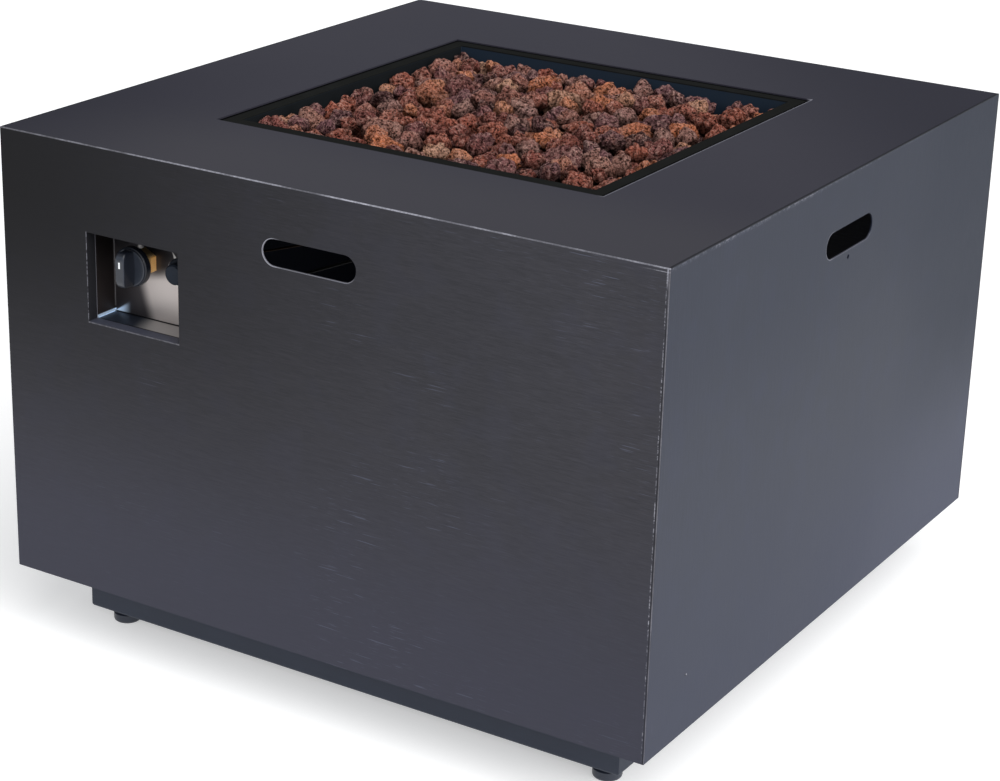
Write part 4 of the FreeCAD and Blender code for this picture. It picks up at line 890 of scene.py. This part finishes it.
def layRocks():
    # The rocks that lie under the others are coarse, those that show are fine, from left to right in pieces.
    draw = np.random.default_rng(rock["seed"])
    islands = rockIslands(nodes["lava_rocks"].data)
    islands.sort(key=lambda tri: round(float(tri[..., 0].mean()), 5))
    shown = [tri for tri in islands if tri[..., 2].max() >= rock["showFrom"]]
    groups = {"lavaRocksUnder": [tri for tri in islands if tri[..., 2].max() < rock["showFrom"]]}
    for k in range(0, len(shown), rock["each"]):
        groups["lavaRocks" + str(k // rock["each"] + 1)] = shown[k:k + rock["each"]]
    for name, members in groups.items():
        directions, quads = cubeSphere(rock["coarse"] if name == "lavaRocksUnder" else rock["fine"])
        points, tones, hollows, crests, shades = [], [], [], [], []
        for tri in members:
            shape, hollow, crest, shade = rockShape(tri, directions, draw)
            shape[:, :2] = np.clip(shape[:, :2], -rock["wall"], rock["wall"])
            points.append(shape)
            tones.append(np.full(len(shape), draw.beta(*rock["tones"])))
            hollows.append(hollow)
            crests.append(crest)
            shades.append(shade)
        count = len(directions)
        faces = np.concatenate([quads + k * count for k in range(len(members))])
        piece = meshObject(name, np.concatenate(points), faces, finishes["lava"])
        for layerName, values in (("rockTone", tones), ("rockHollow", hollows), ("rockCrest", crests),
                                  ("rockShade", shades)):
            layer = piece.data.attributes.new(layerName, "FLOAT", "POINT")
            layer.data.foreach_set("value", np.concatenate(values).astype(np.float32))
        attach(piece, rootBody)
        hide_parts("lava_rocks")
        print(name, len(members), "rocks,", len(faces) * 2, "triangles")


layRocks()


# Camera: the photograph's view, from the right of the front and a little above.

view = dict(at=(1.23407, -2.06052, 1.14476), azimuth=31.24, elevation=20.98, roll=1.69, lens=90.80)


def cameraMatrix():
    az, el, roll = (math.radians(view[k]) for k in ("azimuth", "elevation", "roll"))
    back = np.array([math.sin(az) * math.cos(el), -math.cos(az) * math.cos(el), math.sin(el)])
    right = np.array([math.cos(az), math.sin(az), 0.0])
    up = np.cross(back, right)
    across = math.cos(roll) * right + math.sin(roll) * up
    above = -math.sin(roll) * right + math.cos(roll) * up
    matrix = Matrix.Identity(4)
    for k in range(3):
        matrix[k][0], matrix[k][1], matrix[k][2], matrix[k][3] = across[k], above[k], back[k], view["at"][k]
    return matrix


def placeCamera():
    lens = bpy.data.cameras.new("photoLens")
    lens.sensor_width = 36.0
    lens.lens = view["lens"]
    lens.clip_end = 60.0
    camera = bpy.data.objects.new("photoCamera", lens)
    camera.matrix_world = cameraMatrix()
    bpy.context.scene.collection.objects.link(camera)
    bpy.context.scene.camera = camera


# Studio: a pale floor, a dim pale world, one broad soft sun from the right and two soft boxes.

studio = dict(floor=9.0, world=0.36, worldColour=(0.93, 0.96, 1.0), floorColour=(0.74, 0.74, 0.74),
              floorGlow=0.42,
              sunFrom=(2.2, -1.1, 2.6), sunPower=3.0, sunSpread=62.0,
              boxes=[("softRight", (3.4, -0.9, 1.2), (0, 0, 0.3), (2.0, 1.8), 30.0),
                     ("softFront", (-0.6, -3.6, 2.0), (0, 0, 0.3), (2.4, 1.2), 14.0)])


def aimAt(start, target):
    back = np.array(start) - np.array(target)
    back /= np.linalg.norm(back)
    right = np.cross((0, 0, 1), back)
    right /= np.linalg.norm(right)
    up = np.cross(back, right)
    matrix = Matrix.Identity(4)
    for k in range(3):
        matrix[k][0], matrix[k][1], matrix[k][2], matrix[k][3] = right[k], up[k], back[k], start[k]
    return matrix


def buildStudio():
    reach = studio["floor"]
    corners = reach * np.array([(-1, -1, 0), (1, -1, 0), (1, 1, 0), (-1, 1, 0)], float)
    f = Finish("floorPaper", Specular_IOR_Level=0.1)
    mottle = f.noise(f.place, 3.0, 2.0)
    pale = studio["floorColour"]
    paper = f.feed(Base_Color=f.blend(mottle, tuple(c * 0.99 for c in pale), pale))
    f.shader.inputs["Roughness"].default_value = 0.9
    f.shader.inputs["Emission Color"].default_value = (1.0, 1.0, 1.0, 1.0)
    f.shader.inputs["Emission Strength"].default_value = studio["floorGlow"]
    floor = meshObject("studioFloor", corners, np.array([[0, 1, 2, 3]]), paper, False)
    world = bpy.data.worlds.new("studioWorld")
    world.use_nodes = True
    background = world.node_tree.nodes["Background"]
    background.inputs[0].default_value = (*studio["worldColour"], 1.0)
    background.inputs[1].default_value = studio["world"]
    bpy.context.scene.world = world
    sun = bpy.data.lights.new("softSun", "SUN")
    sun.energy = studio["sunPower"]
    sun.angle = math.radians(studio["sunSpread"])
    sunLamp = bpy.data.objects.new("softSun", sun)
    sunLamp.matrix_world = aimAt(studio["sunFrom"], (0, 0, 0))
    bpy.context.scene.collection.objects.link(sunLamp)
    for name, start, target, size, power in studio["boxes"]:
        light = bpy.data.lights.new(name, "AREA")
        light.shape = "RECTANGLE"
        light.size, light.size_y = size
        light.energy = power
        lamp = bpy.data.objects.new(name, light)
        lamp.matrix_world = aimAt(start, target)
        bpy.context.scene.collection.objects.link(lamp)


placeCamera()
buildStudio()
bpy.context.scene.view_settings.view_transform = "Standard"
print("camera and studio are in place")
